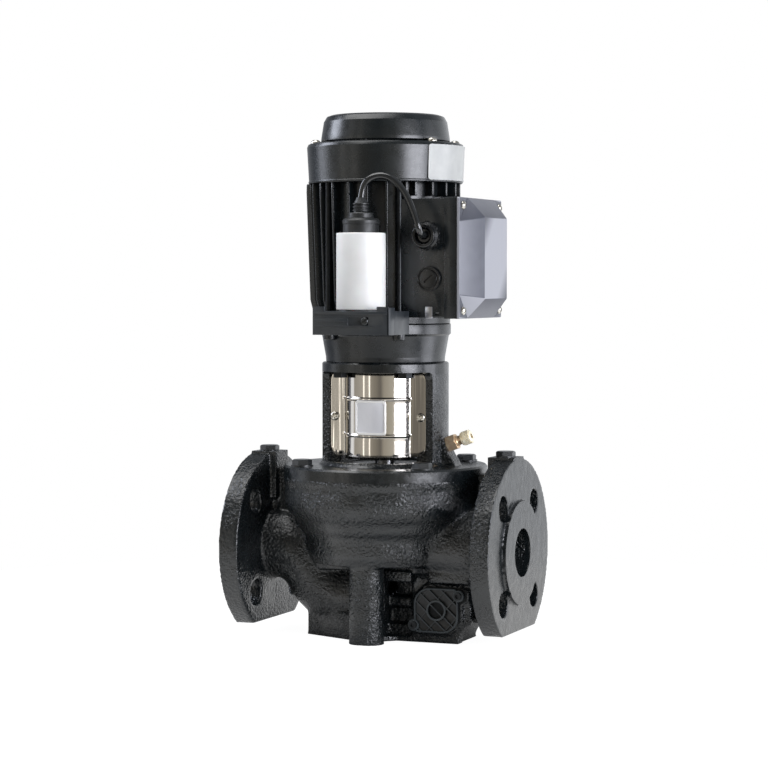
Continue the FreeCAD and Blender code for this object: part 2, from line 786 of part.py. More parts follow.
def coupling_guard(label, half_turn):
    """A bent sheet round the coupling with two flat wings, screwed to the pillars' ribs."""
    body = new_body(label)
    low = "joint_height + disc_thick + guard_foot"
    high = "stool_height - stool_top - 2"
    inner, outer = "guard_radius - guard_sheet / 2", "guard_radius + guard_sheet / 2"
    profile = [(inner, low), (outer, low)]
    for bead in ("guard_bead_low", "guard_bead_high"):
        profile += [(outer, f"{bead} - guard_bead"), (f"{outer} + guard_bead_rise", bead),
                    (outer, f"{bead} + guard_bead")]
    profile += [(outer, high), (inner, high)]
    for bead in ("guard_bead_high", "guard_bead_low"):
        profile += [(inner, f"{bead} + guard_bead"), (f"{inner} + guard_bead_rise", bead),
                    (inner, f"{bead} - guard_bead")]
    band = sketch(body, "XZ")
    outline(band, profile)
    spin(body, band)
    back = sketch(body, "XY", f"{low} - 1")
    box_outline(back, "-2 * guard_radius", "2 * guard_radius", "-rib_half - 0.1", "2 * guard_radius")
    pocket(body, back, f"{high} - ({low}) + 2", reverse=True)
    wings = sketch(body, "XZ", "rib_half")
    for side in (-1, 1):
        root = f"{side} * (sqrt(guard_radius ^ 2 - rib_half ^ 2) - guard_sheet / 2)"
        tip = f"{side} * guard_reach"
        outline(wings, [(root, f"{low} + 2"), (f"{tip} - {side} * 6", f"{low} + 2"), (tip, f"{low} + 8"),
                        (tip, f"{high} - 4"), (f"{tip} - {side} * 4", high), (root, high)])
    pad(body, wings, "guard_sheet")
    holes = sketch(body, "XZ", "rib_half + guard_sheet")
    for side in (-1, 1):
        circle(holes, f"{side} * guard_screw_x", "(guard_bead_low + guard_bead_high) / 2",
               "guard_screw / 2")
    pocket(body, holes, "guard_sheet")
    if half_turn:
        body.Placement = FreeCAD.Placement(V(), Rotation(V(0, 0, 1), 180))


def guard_screws():
    body = new_body("guard_screws")
    face = "rib_half + guard_sheet"
    height = "(guard_bead_low + guard_bead_high) / 2"
    for side in (-1, 1):
        for lift, length, radius, back in ((face, 2, "guard_screw * 0.8", False),
                                           (face, "guard_sheet + 7", "guard_screw / 2 - 0.35", True)):
            sk = sketch(body, "XZ", f"{side} * ({lift})")
            for x_side in (-1, 1):
                circle(sk, f"{x_side} * guard_screw_x", height, radius)
            pad(body, sk, length, reverse=(side < 0) != back)


def guard_badge():
    """A blank square badge, curved to the front guard and riveted on it."""
    body = new_body("guard_badge")
    inner = "guard_radius + guard_sheet / 2 + guard_bead_rise + 0.02"
    middle = "(guard_bead_low + guard_bead_high) / 2"
    sk = sketch(body, "YZ")
    box_outline(sk, f"-({inner} + badge_thick)", f"-({inner})",
                f"{middle} - badge_height / 2", f"{middle} + badge_height / 2")
    spin(body, sk, angle="2 * asin(badge_width / 2 / guard_radius)", both=True)


def vent():
    """The brass vent on the cover disc: a body screwed into its boss, a needle and its knurled cap."""
    bodies = {}
    for label in ("vent_body", "vent_needle", "vent_cap"):
        body = new_body(label)
        body.Placement = FreeCAD.Placement(V(), Rotation(V(0, 1, 0), -worth("vent_tilt")))
        bind(body, "Placement.Base.x", "vent_x")
        bind(body, "Placement.Base.z", "vent_z")
        bodies[label] = body
    body = bodies["vent_body"]
    stub = sketch(body, "YZ")
    circle(stub, 0, 0, "vent_thread / 2 - 0.05")
    pad(body, stub, "vent_stub", reverse=True)
    nut = sketch(body, "YZ")
    hexagon(nut, 0, 0, "vent_hex")
    pad(body, nut, "vent_hex_length")
    neck_end = "vent_hex_length + vent_neck_length"
    neck = sketch(body, "YZ", "vent_hex_length")
    circle(neck, 0, 0, "vent_neck / 2")
    pad(body, neck, "vent_neck_length")
    bore = sketch(body, "YZ", neck_end)
    circle(bore, 0, 0, "vent_bore / 2")
    pocket(body, bore, f"{neck_end} - 3")
    passage = sketch(body, "YZ", "-vent_stub")
    circle(passage, 0, 0, "vent_bore / 4")
    pocket(body, passage, "vent_stub + 4", reverse=True)
    needle = bodies["vent_needle"]
    start = f"{neck_end} + vent_cap_gap"
    end = f"{start} + vent_cap_length"
    stem = sketch(needle, "XZ")
    tip = 4
    radius = "vent_bore / 2 - 0.3"
    reach = f"{end} - 1"
    outline(stem, [(tip, 0), (f"{tip} + 2", radius), (reach, radius), (reach, 0)])
    spin(needle, stem, "H_Axis")
    cap = bodies["vent_cap"]
    knob = sketch(cap, "XZ")
    bevel = 0.6
    outline(knob, [(start, f"{radius} + 0.05"), (start, f"vent_cap / 2 - {bevel}"),
                   (f"{start} + {bevel}", "vent_cap / 2"), (f"{end} - {bevel}", "vent_cap / 2"),
                   (end, f"vent_cap / 2 - {bevel}"), (end, f"{radius} + 0.05")])
    spin(cap, knob, "H_Axis")


# What turns in the pump


def impeller():
    low = "chamber_floor + impeller_gap"
    back = f"{low} + impeller_height"
    eye = "port_bore / 2 + 1"
    body = turned("impeller", [
        ("shaft / 2", f"{back} - impeller_plate"), ("impeller_radius", f"{back} - impeller_plate"),
        ("impeller_radius", back), ("impeller_hub", f"{back} + 2"), ("impeller_hub", "hub_top"),
        ("shaft / 2", "hub_top")])
    vane = sketch(body, "XY", f"{low} + impeller_plate / 2")
    angle = "vane_angle"
    root, tip = f"{eye} + 2", "impeller_radius - 1"
    corners = []
    low_side, high_side = "-vane_thick / 2", "vane_thick / 2"
    for along, across in ((root, low_side), (tip, low_side), (tip, high_side), (root, high_side)):
        reach = f"({along} - ({root}))"
        corners.append((f"{root} + {reach} * cos({angle}) - ({across}) * sin({angle})",
                        f"{reach} * sin({angle}) + ({across}) * cos({angle})"))
    outline(vane, corners)
    blade = pad(body, vane, "impeller_height - 1.5 * impeller_plate + 0.5")
    around(body, [blade], "vane_count")
    shroud = sketch(body, "XZ")
    outline(shroud, [(eye, "chamber_floor - 7"),
                     ("wear_ring_bore / 2 - wear_ring_gap", "chamber_floor - 7"),
                     ("wear_ring_bore / 2 - wear_ring_gap", low), ("impeller_radius", low),
                     ("impeller_radius", f"{low} + impeller_plate"), (eye, f"{low} + impeller_plate")])
    spin(body, shroud)


def pump_rotor():
    back = "chamber_floor + impeller_gap + impeller_height"
    turned("pump_shaft", [(0, "shaft_foot"), ("nut_thread / 2", "shaft_foot"),
                          ("nut_thread / 2", f"{back} - impeller_plate"),
                          ("shaft / 2", f"{back} - impeller_plate"),
                          ("shaft / 2", "shaft_top - 1"), ("shaft / 2 - 1", "shaft_top"), (0, "shaft_top")])
    nut = new_body("impeller_nut")
    sk = sketch(nut, "XY", "shaft_foot + 1")
    hexagon(sk, 0, 0, "nut_thread * 1.5")
    circle(sk, 0, 0, "nut_thread / 2")
    pad(nut, sk, f"{back} - impeller_plate - shaft_foot - 1")
    seat_face = "joint_height - spigot_depth + 3"
    turned("seal_head", [("shaft / 2", f"{seat_face} - seal_face_gap - seal_head_height"),
                         ("seal_head_outer / 2 - 2", f"{seat_face} - seal_face_gap - seal_head_height"),
                         ("seal_head_outer / 2 - 2", f"{seat_face} - seal_face_gap - seal_head_height / 2"),
                         ("seal_head_outer / 2 - 2.5", f"{seat_face} - seal_face_gap"),
                         ("shaft / 2", f"{seat_face} - seal_face_gap")])
    low, high = "hub_top", f"{seat_face} - seal_face_gap - seal_head_height"
    folds = []
    for step in range(5):
        radius = "shaft / 2 + 2" if step % 2 else "seal_head_outer / 2 - 1"
        folds.append((radius, f"{low} + ({high} - {low}) * {step} / 4"))
    turned("seal_bellows", [("shaft / 2", low)] + folds + [("shaft / 2", high)])
    turned("seal_seat", [("shaft / 2 + seal_bore_gap", seat_face), ("seal_seat_outer / 2 - 2", seat_face),
                         ("seal_seat_outer / 2", f"{seat_face} + 1"),
                         ("seal_seat_outer / 2", f"{seat_face} + seal_seat_depth + 3"),
                         ("shaft / 2 + seal_bore_gap", f"{seat_face} + seal_seat_depth + 3")])


def coupling():
    """Two clamp halves that join the pump shaft to the motor shaft, and their four screws."""
    for label, side in (("coupling_half_front", -1), ("coupling_half_rear", 1)):
        middle = "(shaft_top + motor_shaft_low) / 2"
        body = turned(label, [("shaft / 2", "coupling_low"), ("coupling_radius - 1", "coupling_low"),
                              ("coupling_radius", "coupling_low + 1"),
                              ("coupling_radius", "coupling_high - 1"),
                              ("coupling_radius - 1", "coupling_high"),
                              ("motor_shaft / 2", "coupling_high"),
                              ("motor_shaft / 2", middle), ("shaft / 2", middle)])
        half = sketch(body, "XZ", "coupling_split" if side < 0 else "-coupling_split")
        box_outline(half, "-2 * coupling_radius", "2 * coupling_radius",
                    "coupling_low - 1", "coupling_high + 1")
        pocket(body, half, "2 * coupling_radius", reverse=side > 0)
        holes = sketch(body, "XZ")
        coupling_bolt_circles(holes, "coupling_bolt / 2")
        pocket(body, holes, "3 * coupling_radius", both=True)
        seats = sketch(body, "XZ", f"{-side} * (coupling_radius + 1)")
        coupling_bolt_circles(seats, "coupling_bolt * 0.9")
        pocket(body, seats, "coupling_radius + 1 - coupling_seat", reverse=side > 0)
    bolts = new_body("coupling_bolts")
    for side in (-1, 1):
        heads = sketch(bolts, "XZ", f"{-side} * coupling_seat")
        coupling_bolt_circles(heads, "coupling_bolt * 0.8")
        pad(bolts, heads, "coupling_bolt * 0.75", reverse=side > 0)
    shanks = sketch(bolts, "XZ")
    coupling_bolt_circles(shanks, "coupling_bolt / 2 - 0.2")
    pad(bolts, shanks, "2 * coupling_seat + 1", both=True)


def coupling_bolt_circles(sk, radius):
    for x_side in (-1, 1):
        for z in ("coupling_low + coupling_bolt_edge", "coupling_high - coupling_bolt_edge"):
            circle(sk, f"{x_side} * coupling_bolt_x", z, radius)


# Motor


def motor_end_shield():
    spigot = "stool_hole - 0.3"
    bore = "bearing_outer / 2"
    body = turned("motor_end_shield", [
        ("journal / 2 + 2.5", "stool_height - shield_spigot"), (spigot, "stool_height - shield_spigot"),
        (spigot, "stool_height"), ("shield_cone_foot", "stool_height"),
        ("shield_cone_top", "shield_rim_low"),
        ("shield_rim_radius", "shield_rim_low + 1.5"), ("shield_rim_radius", "shield_rim_high"),
        ("stator_radius - shield_wall / 2", "shield_rim_high"),
        ("stator_radius - shield_wall / 2", "shield_rim_high + 4"),
        ("core_radius - 2", "shield_rim_high + 4"), ("core_radius - 2", "shield_floor"),
        (f"{bore} + 5", "shield_floor"), (f"{bore} + 5", "lower_bearing + bearing_width"),
        (bore, "lower_bearing + bearing_width"), (bore, "lower_bearing"),
        ("journal / 2 + 2.5", "lower_bearing")])
    lugs = sketch(body, "XY", "shield_rim_low - 3")
    four_circles(lugs, "(tie_radius - 1)", "tie_angle", "tie_bolt * 0.9")
    pad(body, lugs, "shield_rim_high - shield_rim_low + 3")
    inside = sketch(body, "XY", "shield_floor")
    circle(inside, 0, 0, "core_radius - 2")
    circle(inside, 0, 0, "bearing_outer / 2 + 5")
    pocket(body, inside, "shield_rim_high - shield_floor + 6", reverse=True)
    ties = sketch(body, "XY", "shield_rim_low - 3")
    four_circles(ties, "tie_radius", "tie_angle", "tie_bolt / 2")
    pocket(body, ties, "shield_rim_high - shield_rim_low + 4", reverse=True)
    screws = sketch(body, "XY", "stool_height")
    four_circles(screws, "motor_screw_circle / 2", 45, "motor_screw / 2")
    pocket(body, screws, "shield_floor - stool_height - 1.5", reverse=True)


def stator():
    """The finned aluminium frame, the laminated core and the ends of its windings."""
    body = turned("stator_housing", [
        ("stator_radius - shield_wall / 2", "shield_rim_high"), ("stator_radius", "shield_rim_high"),
        ("stator_radius", "stator_top"), ("stator_radius - shield_wall / 2", "stator_top"),
        ("stator_radius - shield_wall / 2", "stator_top - 4"), ("core_radius", "stator_top - 4"),
        ("core_radius", "shield_rim_high + 4"), ("stator_radius - shield_wall / 2", "shield_rim_high + 4")])
    fin = sketch(body, "XZ", turn=(V(0, 1, 0), "fin_first"))
    outline(fin, [("stator_radius - 1", "fin_foot - 4"), ("fin_foot_reach", "fin_foot"),
                  ("fin_foot_reach + 3.4", "fin_foot + 13"), ("fin_reach - 1", "stator_top - 6"),
                  ("fin_reach - 0.6", "stator_top"), ("stator_radius - 1", "stator_top")])
    fins = pad(body, fin, "fin_thick", both=True)
    around(body, [fins], "fin_count", "fin_pitch * (fin_count - 1)")
    flat = sketch(body, "XZ")
    outline(flat, [("-stator_radius + 4", "fin_foot - 4"), ("-stator_radius", "fin_foot - 4"),
                   ("-fin_foot_reach", "fin_foot"), ("-fin_foot_reach - 3.4", "fin_foot + 13"),
                   ("-fin_reach + 1", "stator_top - 6"), ("-fin_reach + 1", "stator_top"),
                   ("-stator_radius + 4", "stator_top")])
    pad(body, flat, "2 * pad_half", both=True)
    clear = sketch(body, "XY", "stator_top")
    circle(clear, 0, 0, "core_radius")
    pocket(body, clear, "stator_top - shield_rim_high")
    for low, high in (("stator_top - 4", "stator_top"), ("shield_rim_high", "shield_rim_high + 4")):
        seat = sketch(body, "XZ")
        box_outline(seat, 0, "stator_radius - shield_wall / 2", low, high)
        spin(body, seat, cut=True)
    ladder = sketch(body, "XZ", turn=(V(0, 1, 0), "-3 * fin_pitch"))
    box_outline(ladder, "stator_radius - 1", "fin_reach - 1.2", "box_high + 1.5", "stator_top")
    rungs = pad(body, ladder, "fin_thick", both=True)
    around(body, [rungs], 7, "6 * fin_pitch")
    turned("stator_core", [("core_bore", "core_low"), ("core_radius", "core_low"),
                           ("core_radius", "core_high"), ("core_bore", "core_high")])
    turned("stator_windings", [
        ("core_bore + 2", "core_low - winding_length"), ("core_radius - 5", "core_low - winding_length"),
        ("core_radius - 3", "core_low - winding_length + 2"), ("core_radius - 3", "core_low"),
        ("core_bore + 1", "core_low"), ("core_bore + 1", "core_low - winding_length + 1")])
    body = parts[-1]
    upper = sketch(body, "XZ")
    outline(upper, [("core_bore + 1", "core_high"), ("core_radius - 3", "core_high"),
                    ("core_radius - 3", "core_high + winding_length - 2"),
                    ("core_radius - 5", "core_high + winding_length"),
                    ("core_bore + 2", "core_high + winding_length"),
                    ("core_bore + 1", "core_high + winding_length - 1")])
    spin(body, upper)


def motor_rotor():
    turned("rotor_core", [("rotor_seat / 2", "core_low - 5"), ("rotor_radius - 3", "core_low - 5"),
                          ("rotor_radius - 3", "core_low"), ("rotor_radius", "core_low"),
                          ("rotor_radius", "core_high"), ("rotor_radius - 3", "core_high"),
                          ("rotor_radius - 3", "core_high + 5"), ("rotor_seat / 2", "core_high + 5")])
    turned("motor_shaft", [
        (0, "motor_shaft_low"), ("motor_shaft / 2 - 1", "motor_shaft_low"),
        ("motor_shaft / 2", "motor_shaft_low + 1"), ("motor_shaft / 2", "lower_bearing - 3"),
        ("journal / 2", "lower_bearing - 3"), ("journal / 2", "lower_bearing + bearing_width"),
        ("rotor_seat / 2", "lower_bearing + bearing_width"), ("rotor_seat / 2", "upper_bearing"),
        ("journal / 2", "upper_bearing"), ("journal / 2", "upper_bearing + bearing_width + 1"),
        ("fan_hub / 2", "upper_bearing + bearing_width + 1"), ("fan_hub / 2", "motor_shaft_high"),
        (0, "motor_shaft_high")])


def bearing(name, low):
    """A deep-groove ball bearing: outer ring, inner ring, and the balls in their cage."""
    middle = f"{low} + bearing_width / 2"
    pitch = "(journal + bearing_outer) / 4"
    rings = (("outer", "bearing_outer / 2", "bearing_outer / 2 - bearing_race"),
             ("inner", "journal / 2", "journal / 2 + bearing_race"))
    for kind, seat, race in rings:
        near, far = (race, seat) if kind == "outer" else (seat, race)
        ring = turned(f"{name}_bearing_{kind}", [(near, low), (far, low), (far, f"{low} + bearing_width"),
                                                (near, f"{low} + bearing_width")])
        groove = sketch(ring, "XZ")
        circle(groove, pitch, middle, "ball / 2 + bearing_gap")
        spin(ring, groove, cut=True)
    radius = worth(pitch)
    height = worth(middle)
    balls = [Part.makeSphere(worth("ball / 2"), V(radius * math.cos(a), radius * math.sin(a), height))
             for a in (2 * math.pi * k / int(worth("ball_count")) for k in range(int(worth("ball_count"))))]
    band = Part.makeCylinder(radius + 0.9, 2.4, V(0, 0, height - 1.2))
    band = band.cut(Part.makeCylinder(radius - 0.9, 2.4, V(0, 0, height - 1.2)))
    cage = doc.addObject("Part::Feature", f"{name}_bearing_cage")
    cage.Label = f"{name}_bearing_cage"
    cage.Shape = Part.makeCompound(balls + [band.cut(Part.makeCompound(balls))])
    cage.Placement = FreeCAD.Placement(V(), Rotation())
    parts.append(cage)


def rear_end_shield():
    bore = "bearing_outer / 2"
    top = "upper_bearing + bearing_width"
    body = turned("rear_end_shield", [
        (bore, "upper_bearing"), (f"{bore} + 5", "upper_bearing"), (f"{bore} + 5", "stator_top - 0.5"),
        ("core_radius - 2", "stator_top - 0.5"), ("core_radius - 2", "stator_top - 3.5"),
        ("stator_radius - shield_wall / 2", "stator_top - 3.5"),
        ("stator_radius - shield_wall / 2", "stator_top"),
        ("cover_foot_radius - cover_sheet - 0.2", "stator_top"),
        ("cover_foot_radius - cover_sheet - 0.2", "stator_top + rear_plate"),
        (f"{bore} + 5", "stator_top + rear_plate"), (f"{bore} + 5", f"{top} + 2"),
        ("journal / 2 + 2", f"{top} + 2"), ("journal / 2 + 2", top), (bore, top)])
    ties = sketch(body, "XY", "stator_top + rear_plate")
    four_circles(ties, "tie_radius", "tie_angle", "tie_bolt / 2")
    pocket(body, ties, "rear_plate + 1")
    screws = sketch(body, "XY", "stator_top + rear_plate")
    four_circles(screws, "cover_screw_radius", "cover_screw_angle", "cover_screw / 2")
    pocket(body, screws, "rear_plate - 1")


def fan_and_covers():
    fan = turned("fan", [("fan_hub / 2", "fan_low - 2"), ("fan_hub / 2 + 7", "fan_low - 2"),
                         ("fan_hub / 2 + 7", "fan_low"), ("fan_radius", "fan_low"),
                         ("fan_radius", "fan_low + fan_plate"),
                         ("fan_hub / 2 + 7", "fan_low + fan_plate"),
                         ("fan_hub / 2 + 7", "fan_low + fan_blade"),
                         ("fan_hub / 2", "fan_low + fan_blade")])
    blade = sketch(fan, "XZ")
    box_outline(blade, "fan_hub / 2 + 5", "fan_radius - 1",
                "fan_low + fan_plate / 2", "fan_low + fan_blade")
    blades = pad(fan, blade, 2, both=True)
    around(fan, [blades], "fan_blades")

    cover = turned("fan_cover", [
        ("cover_foot_radius - cover_sheet", "stator_top"), ("cover_foot_radius", "stator_top"),
        ("cover_top_radius", "cover_top - 3"), ("cover_top_radius - 0.8", "cover_top - 0.8"),
        ("cover_top_radius - 3", "cover_top"), ("intake_radius", "cover_top"),
        ("intake_radius", "cover_top - cover_sheet"), ("cover_top_radius - 3.4", "cover_top - cover_sheet"),
        ("cover_top_radius - cover_sheet", "cover_top - 3.6")])
    holes = sketch(cover, "XY", "cover_top")
    four_circles(holes, "cover_screw_radius", "cover_screw_angle", "cover_screw / 2 + 0.2")
    pocket(cover, holes, "cover_sheet + 1")
    screws = new_body("fan_cover_screws")
    for length, radius, down in (("cover_screw * 0.6", "cover_screw * 0.75", False),
                                 ("cover_top - stator_top - 2", "cover_screw / 2 - 0.1", True)):
        sk = sketch(screws, "XY", "cover_top")
        four_circles(sk, "cover_screw_radius", "cover_screw_angle", radius)
        pad(screws, sk, length, reverse=down)

    foot = "cover_top + canopy_gap"
    canopy = turned("fan_cover_cap", [
        ("canopy_radius - canopy_sheet", foot), ("canopy_radius", foot),
        ("canopy_radius - 0.4", f"{foot} + 3"),
        ("canopy_top_radius + 0.6", "canopy_top - 5"), ("canopy_top_radius - 1.6", "canopy_top - 1.2"),
        ("canopy_top_radius - 5", "canopy_top"), (0, "canopy_top"), (0, "canopy_top - canopy_sheet"),
        ("canopy_top_radius - 5.4", "canopy_top - canopy_sheet"),
        ("canopy_top_radius + 0.6 - canopy_sheet", "canopy_top - 5.4")])
    post = sketch(canopy, "XY", "cover_top")
    circle(post, "canopy_top_radius - canopy_post / 2 - 1", 0, "canopy_post / 2")
    posts = pad(canopy, post, "canopy_top - canopy_sheet - cover_top")
    around(canopy, [posts], 4)

    plate = new_body("data_plate")
    slope = "(cover_top_radius - cover_foot_radius) / (cover_top - 3 - stator_top)"
    sk = sketch(plate, "XZ")
    low, high = (f"cover_foot_radius + plate_gap + {slope} * ({z} - stator_top)"
                 for z in ("plate_low", "plate_high"))
    outline(sk, [(low, "plate_low"), (f"{low} + plate_thick", "plate_low"),
                 (f"{high} + plate_thick", "plate_high"), (high, "plate_high")])
    spin(plate, sk, angle="plate_angle", both=True)


# Terminal box on the motor's discharge side


def corner_circles(sk, half_y, half_z, radius):
    """Four equal circles at the corners of a rectangle about the terminal box's middle."""
    middle = "(box_low + box_high) / 2"
    for y_side in (-1, 1):
        for z_side in (-1, 1):
            circle(sk, f"{y_side} * ({half_y})", f"{middle} + {z_side} * ({half_z})", radius)


def screw_corners():
    return "box_half - lid_screw_inset", "(box_high - box_low) / 2 - lid_screw_inset"


def terminal_box():
    body = new_body("terminal_box")
    shell = sketch(body, "XY", "box_low + box_rim")
    box_outline(shell, "box_inner", "box_step + 1", "-box_half + box_rim", "box_half - box_rim")
    pad(body, shell, "box_high - box_low - 2 * box_rim")
    rim = sketch(body, "XY", "box_low")
    box_outline(rim, "box_step", "box_front", "-box_half", "box_half")
    pad(body, rim, "box_high - box_low")
    inner_half = "box_half - box_rim - box_wall"
    room = sketch(body, "YZ", "box_front")
    box_outline(room, f"-({inner_half})", inner_half,
                "box_low + box_rim + box_wall", "box_high - box_rim - box_wall")
    pocket(body, room, "box_front - box_floor")
    for side in (-1, 1):
        near, far = f"{side} * (box_half - box_pit)", f"{side} * ({inner_half})"
        first, second = (near, far) if side > 0 else (far, near)
        pit = sketch(body, "YZ", "box_floor")
        box_outline(pit, first, second, "box_low + box_pit_inset", "box_high - box_pit_inset")
        pocket(body, pit, "box_floor - box_inner - box_wall - 1")
    posts = sketch(body, "YZ", "box_front")
    corner_circles(posts, *screw_corners(), "lid_screw + 1")
    pad(body, posts, "box_front - box_floor", reverse=True)
    taps = sketch(body, "YZ", "box_front")
    corner_circles(taps, *screw_corners(), "lid_screw / 2")
    pocket(body, taps, 12)
    saddle = sketch(body, "XY", "box_high")
    circle(saddle, 0, 0, "stator_radius")
    pocket(body, saddle, "box_high - box_low")
    for x, z, sides in (("gland_x", "gland_z", (-1, 1)), ("plug_x", "plug_z", (-1,))):
        for side in sides:
            entry = sketch(body, "XZ", f"{-side} * box_half")
            circle(entry, x, z, "gland_thread / 2")
            pocket(body, entry, "box_rim + box_wall + 1", reverse=side > 0)

    gasket = new_body("terminal_box_gasket")
    frame = sketch(gasket, "YZ", "box_front")
    box_outline(frame, "-box_half", "box_half", "box_low", "box_high")
    box_outline(frame, f"-({inner_half}) + 5", f"{inner_half} - 5",
                "box_low + box_rim + box_wall + 5", "box_high - box_rim - box_wall - 5")
    pad(gasket, frame, "box_gasket")
    holes = sketch(gasket, "YZ", "box_front + box_gasket")
    corner_circles(holes, *screw_corners(), "lid_screw / 2 + 0.3")
    pocket(gasket, holes, "box_gasket")


def lid_section(body, lift, half_y, half_z, corner):
    """One eight-sided section of the lid, a rectangle with its corners cut."""
    middle = "(box_low + box_high) / 2"
    sk = sketch(body, "YZ", lift)
    near_y, near_z = f"({half_y}) - ({corner})", f"({half_z}) - ({corner})"
    corners = []
    for y, y_side, z, z_side in ((half_y, 1, near_z, -1), (half_y, 1, near_z, 1), (near_y, 1, half_z, 1),
                                 (near_y, -1, half_z, 1), (half_y, -1, near_z, 1), (half_y, -1, near_z, -1),
                                 (near_y, -1, half_z, -1), (near_y, 1, half_z, -1)):
        corners.append((f"{y_side} * ({y})", f"{middle} + {z_side} * ({z})"))
    outline(sk, corners)
    return sk


def loft(body, low, high, kind):
    feature = body.newObject(kind, "loft")
    feature.Profile = low
    feature.Sections = [high]
    feature.Ruled = True
    return feature


def terminal_box_lid():
    """The pressed lid: a flat rim with a screw in each corner, and a raised middle with slanted sides."""
    half_y, half_z = "box_half + lid_overhang", "(box_high - box_low) / 2"
    foot = "box_front + box_gasket"
    body = new_body("terminal_box_lid")
    plate = sketch(body, "YZ", foot)
    middle = "(box_low + box_high) / 2"
    box_outline(plate, f"-({half_y})", half_y, f"{middle} - ({half_z})", f"{middle} + {half_z}")
    pad(body, plate, "lid_plate")
    low = lid_section(body, f"{foot} + lid_plate", half_y, half_z, "lid_corner")
    high = lid_section(body, f"{foot} + lid_depth", "lid_top_half_y", "lid_top_half_z", "0.6")
    loft(body, low, high, "PartDesign::AdditiveLoft")
    low = lid_section(body, foot, f"{half_y} - 4.5", f"{half_z} - 4.5", "lid_corner")
    high = lid_section(body, f"{foot} + lid_depth - lid_wall", "lid_top_half_y - lid_wall / 2",
                       "lid_top_half_z - lid_wall / 2", "0.6")
    loft(body, low, high, "PartDesign::SubtractiveLoft")
    holes = sketch(body, "YZ", f"{foot} + lid_plate")
    corner_circles(holes, *screw_corners(), "lid_screw / 2 + 0.3")
    pocket(body, holes, "lid_plate")
    screws = new_body("lid_screws")
    heads = sketch(screws, "YZ", f"{foot} + lid_plate")
    corner_circles(heads, *screw_corners(), "lid_screw * 0.8")
    pad(screws, heads, 2.6)
    shanks = sketch(screws, "YZ", f"{foot} + lid_plate")
    corner_circles(shanks, *screw_corners(), "lid_screw / 2 - 0.1")
    pad(screws, shanks, "lid_plate + box_gasket + 10", reverse=True)


def terminal_fittings():
    middle = "(box_low + box_high) / 2"
    block = new_body("terminal_block")
    base = sketch(block, "YZ", "box_floor")
    box_outline(base, "-terminal_pitch * 3 / 2", "terminal_pitch * 3 / 2",
                f"{middle} - terminal_pitch", f"{middle} + terminal_pitch")
    pad(block, base, "terminal_base")
    studs = new_body("terminal_studs")
    nut, pin = ("terminal_stud / 2", "terminal_stud"), ("2 * terminal_stud", "terminal_stud / 2")
    for length, radius in (nut, pin):
        sk = sketch(studs, "YZ", "box_floor + terminal_base")
        for column in (-1, 0, 1):
            for row_side in (-1, 1):
                height = f"{middle} + {row_side} * terminal_pitch / 2"
                circle(sk, f"{column} * terminal_pitch", height, radius)
        pad(studs, sk, length)

    face = "box_half - box_rim"
    grip = "lead_width / 2 + 0.1"
    gland = new_body("cable_gland")
    stub = sketch(gland, "XZ", face)
    circle(stub, "gland_x", "gland_z", "gland_thread / 2 - 0.1")
    circle(stub, "gland_x", "gland_z", grip)
    pad(gland, stub, "box_wall + 4", reverse=True)
    collar = sketch(gland, "XZ", face)
    hexagon(collar, "gland_x", "gland_z", "gland_nut * 0.82")
    circle(collar, "gland_x", "gland_z", grip)
    pad(gland, collar, "gland_reach * 0.35")
    nut = new_body("gland_nut")
    for start, length, radius in (("gland_reach * 0.35", "gland_reach * 0.35", "gland_nut / 2"),
                                  ("gland_reach * 0.7", "gland_reach * 0.3", "gland_front / 2")):
        ring = sketch(nut, "XZ", f"{face} + {start}")
        circle(ring, "gland_x", "gland_z", radius)
        circle(ring, "gland_x", "gland_z", grip)
        pad(nut, ring, length)
    plug = new_body("blanking_plug")
    head = sketch(plug, "XZ", face)
    circle(head, "plug_x", "plug_z", "plug_head / 2")
    pad(plug, head, "plug_rise")
    groove = sketch(plug, "XZ", f"{face} + plug_rise")
    circle(groove, "plug_x", "plug_z", "plug_head / 2 - 1.2")
    circle(groove, "plug_x", "plug_z", "plug_head / 2 - 2.6")
    pocket(plug, groove, "plug_rise / 2")
    stub = sketch(plug, "XZ", face)
    circle(stub, "plug_x", "plug_z", "gland_thread / 2 - 0.1")
    pad(plug, stub, "box_wall + 3", reverse=True)


# Run capacitor, its bracket and its lead


def capacitor():
    seat = "can_low"
    pieces = [
        turned("capacitor_can", [
            (0, seat), ("can_radius - 1", seat), ("can_radius", f"{seat} + 1"),
            ("can_radius", "can_high - 1"),
            ("can_radius - 1", "can_high"), (0, "can_high")]),
        turned("capacitor_cap", [
            (0, "can_high"), ("collar_radius", "can_high"), ("collar_radius", "collar_top - 4"),
            ("collar_radius + 0.4", "collar_top - 4"), ("collar_radius + 0.4", "collar_top - 1.6"),
            ("collar_radius - 1.6", "collar_top"), ("collar_radius - 4", "collar_top + 1.1"),
            ("collar_radius - 4", "collar_top + 3.6"), ("collar_radius - 7.6", "collar_top + 3.8"),
            ("collar_radius - 7.8", "collar_top + 9"), ("lead_width / 2 + 1.2", "sleeve_top - 5"),
            ("lead_width / 2 + 0.8", "sleeve_top"), ("lead_width / 2 + 0.1", "sleeve_top"),
            ("lead_width / 2 + 0.1", "sleeve_top - 8"), (0, "sleeve_top - 8")]),
        turned("capacitor_nut", [
            ("stud / 2", "bracket_high - bracket_sheet - 5"),
            ("stud * 0.85", "bracket_high - bracket_sheet - 5"),
            ("stud * 0.85", "bracket_high - bracket_sheet"), ("stud / 2", "bracket_high - bracket_sheet")])]
    stud = sketch(pieces[0], "XY", seat)
    circle(stud, 0, 0, "stud / 2")
    pad(pieces[0], stud, "can_low - bracket_high + bracket_sheet + 8", reverse=True)
    for piece in pieces:
        bind(piece, "Placement.Base.x", "can_x")
        bind(piece, "Placement.Base.y", "can_y")


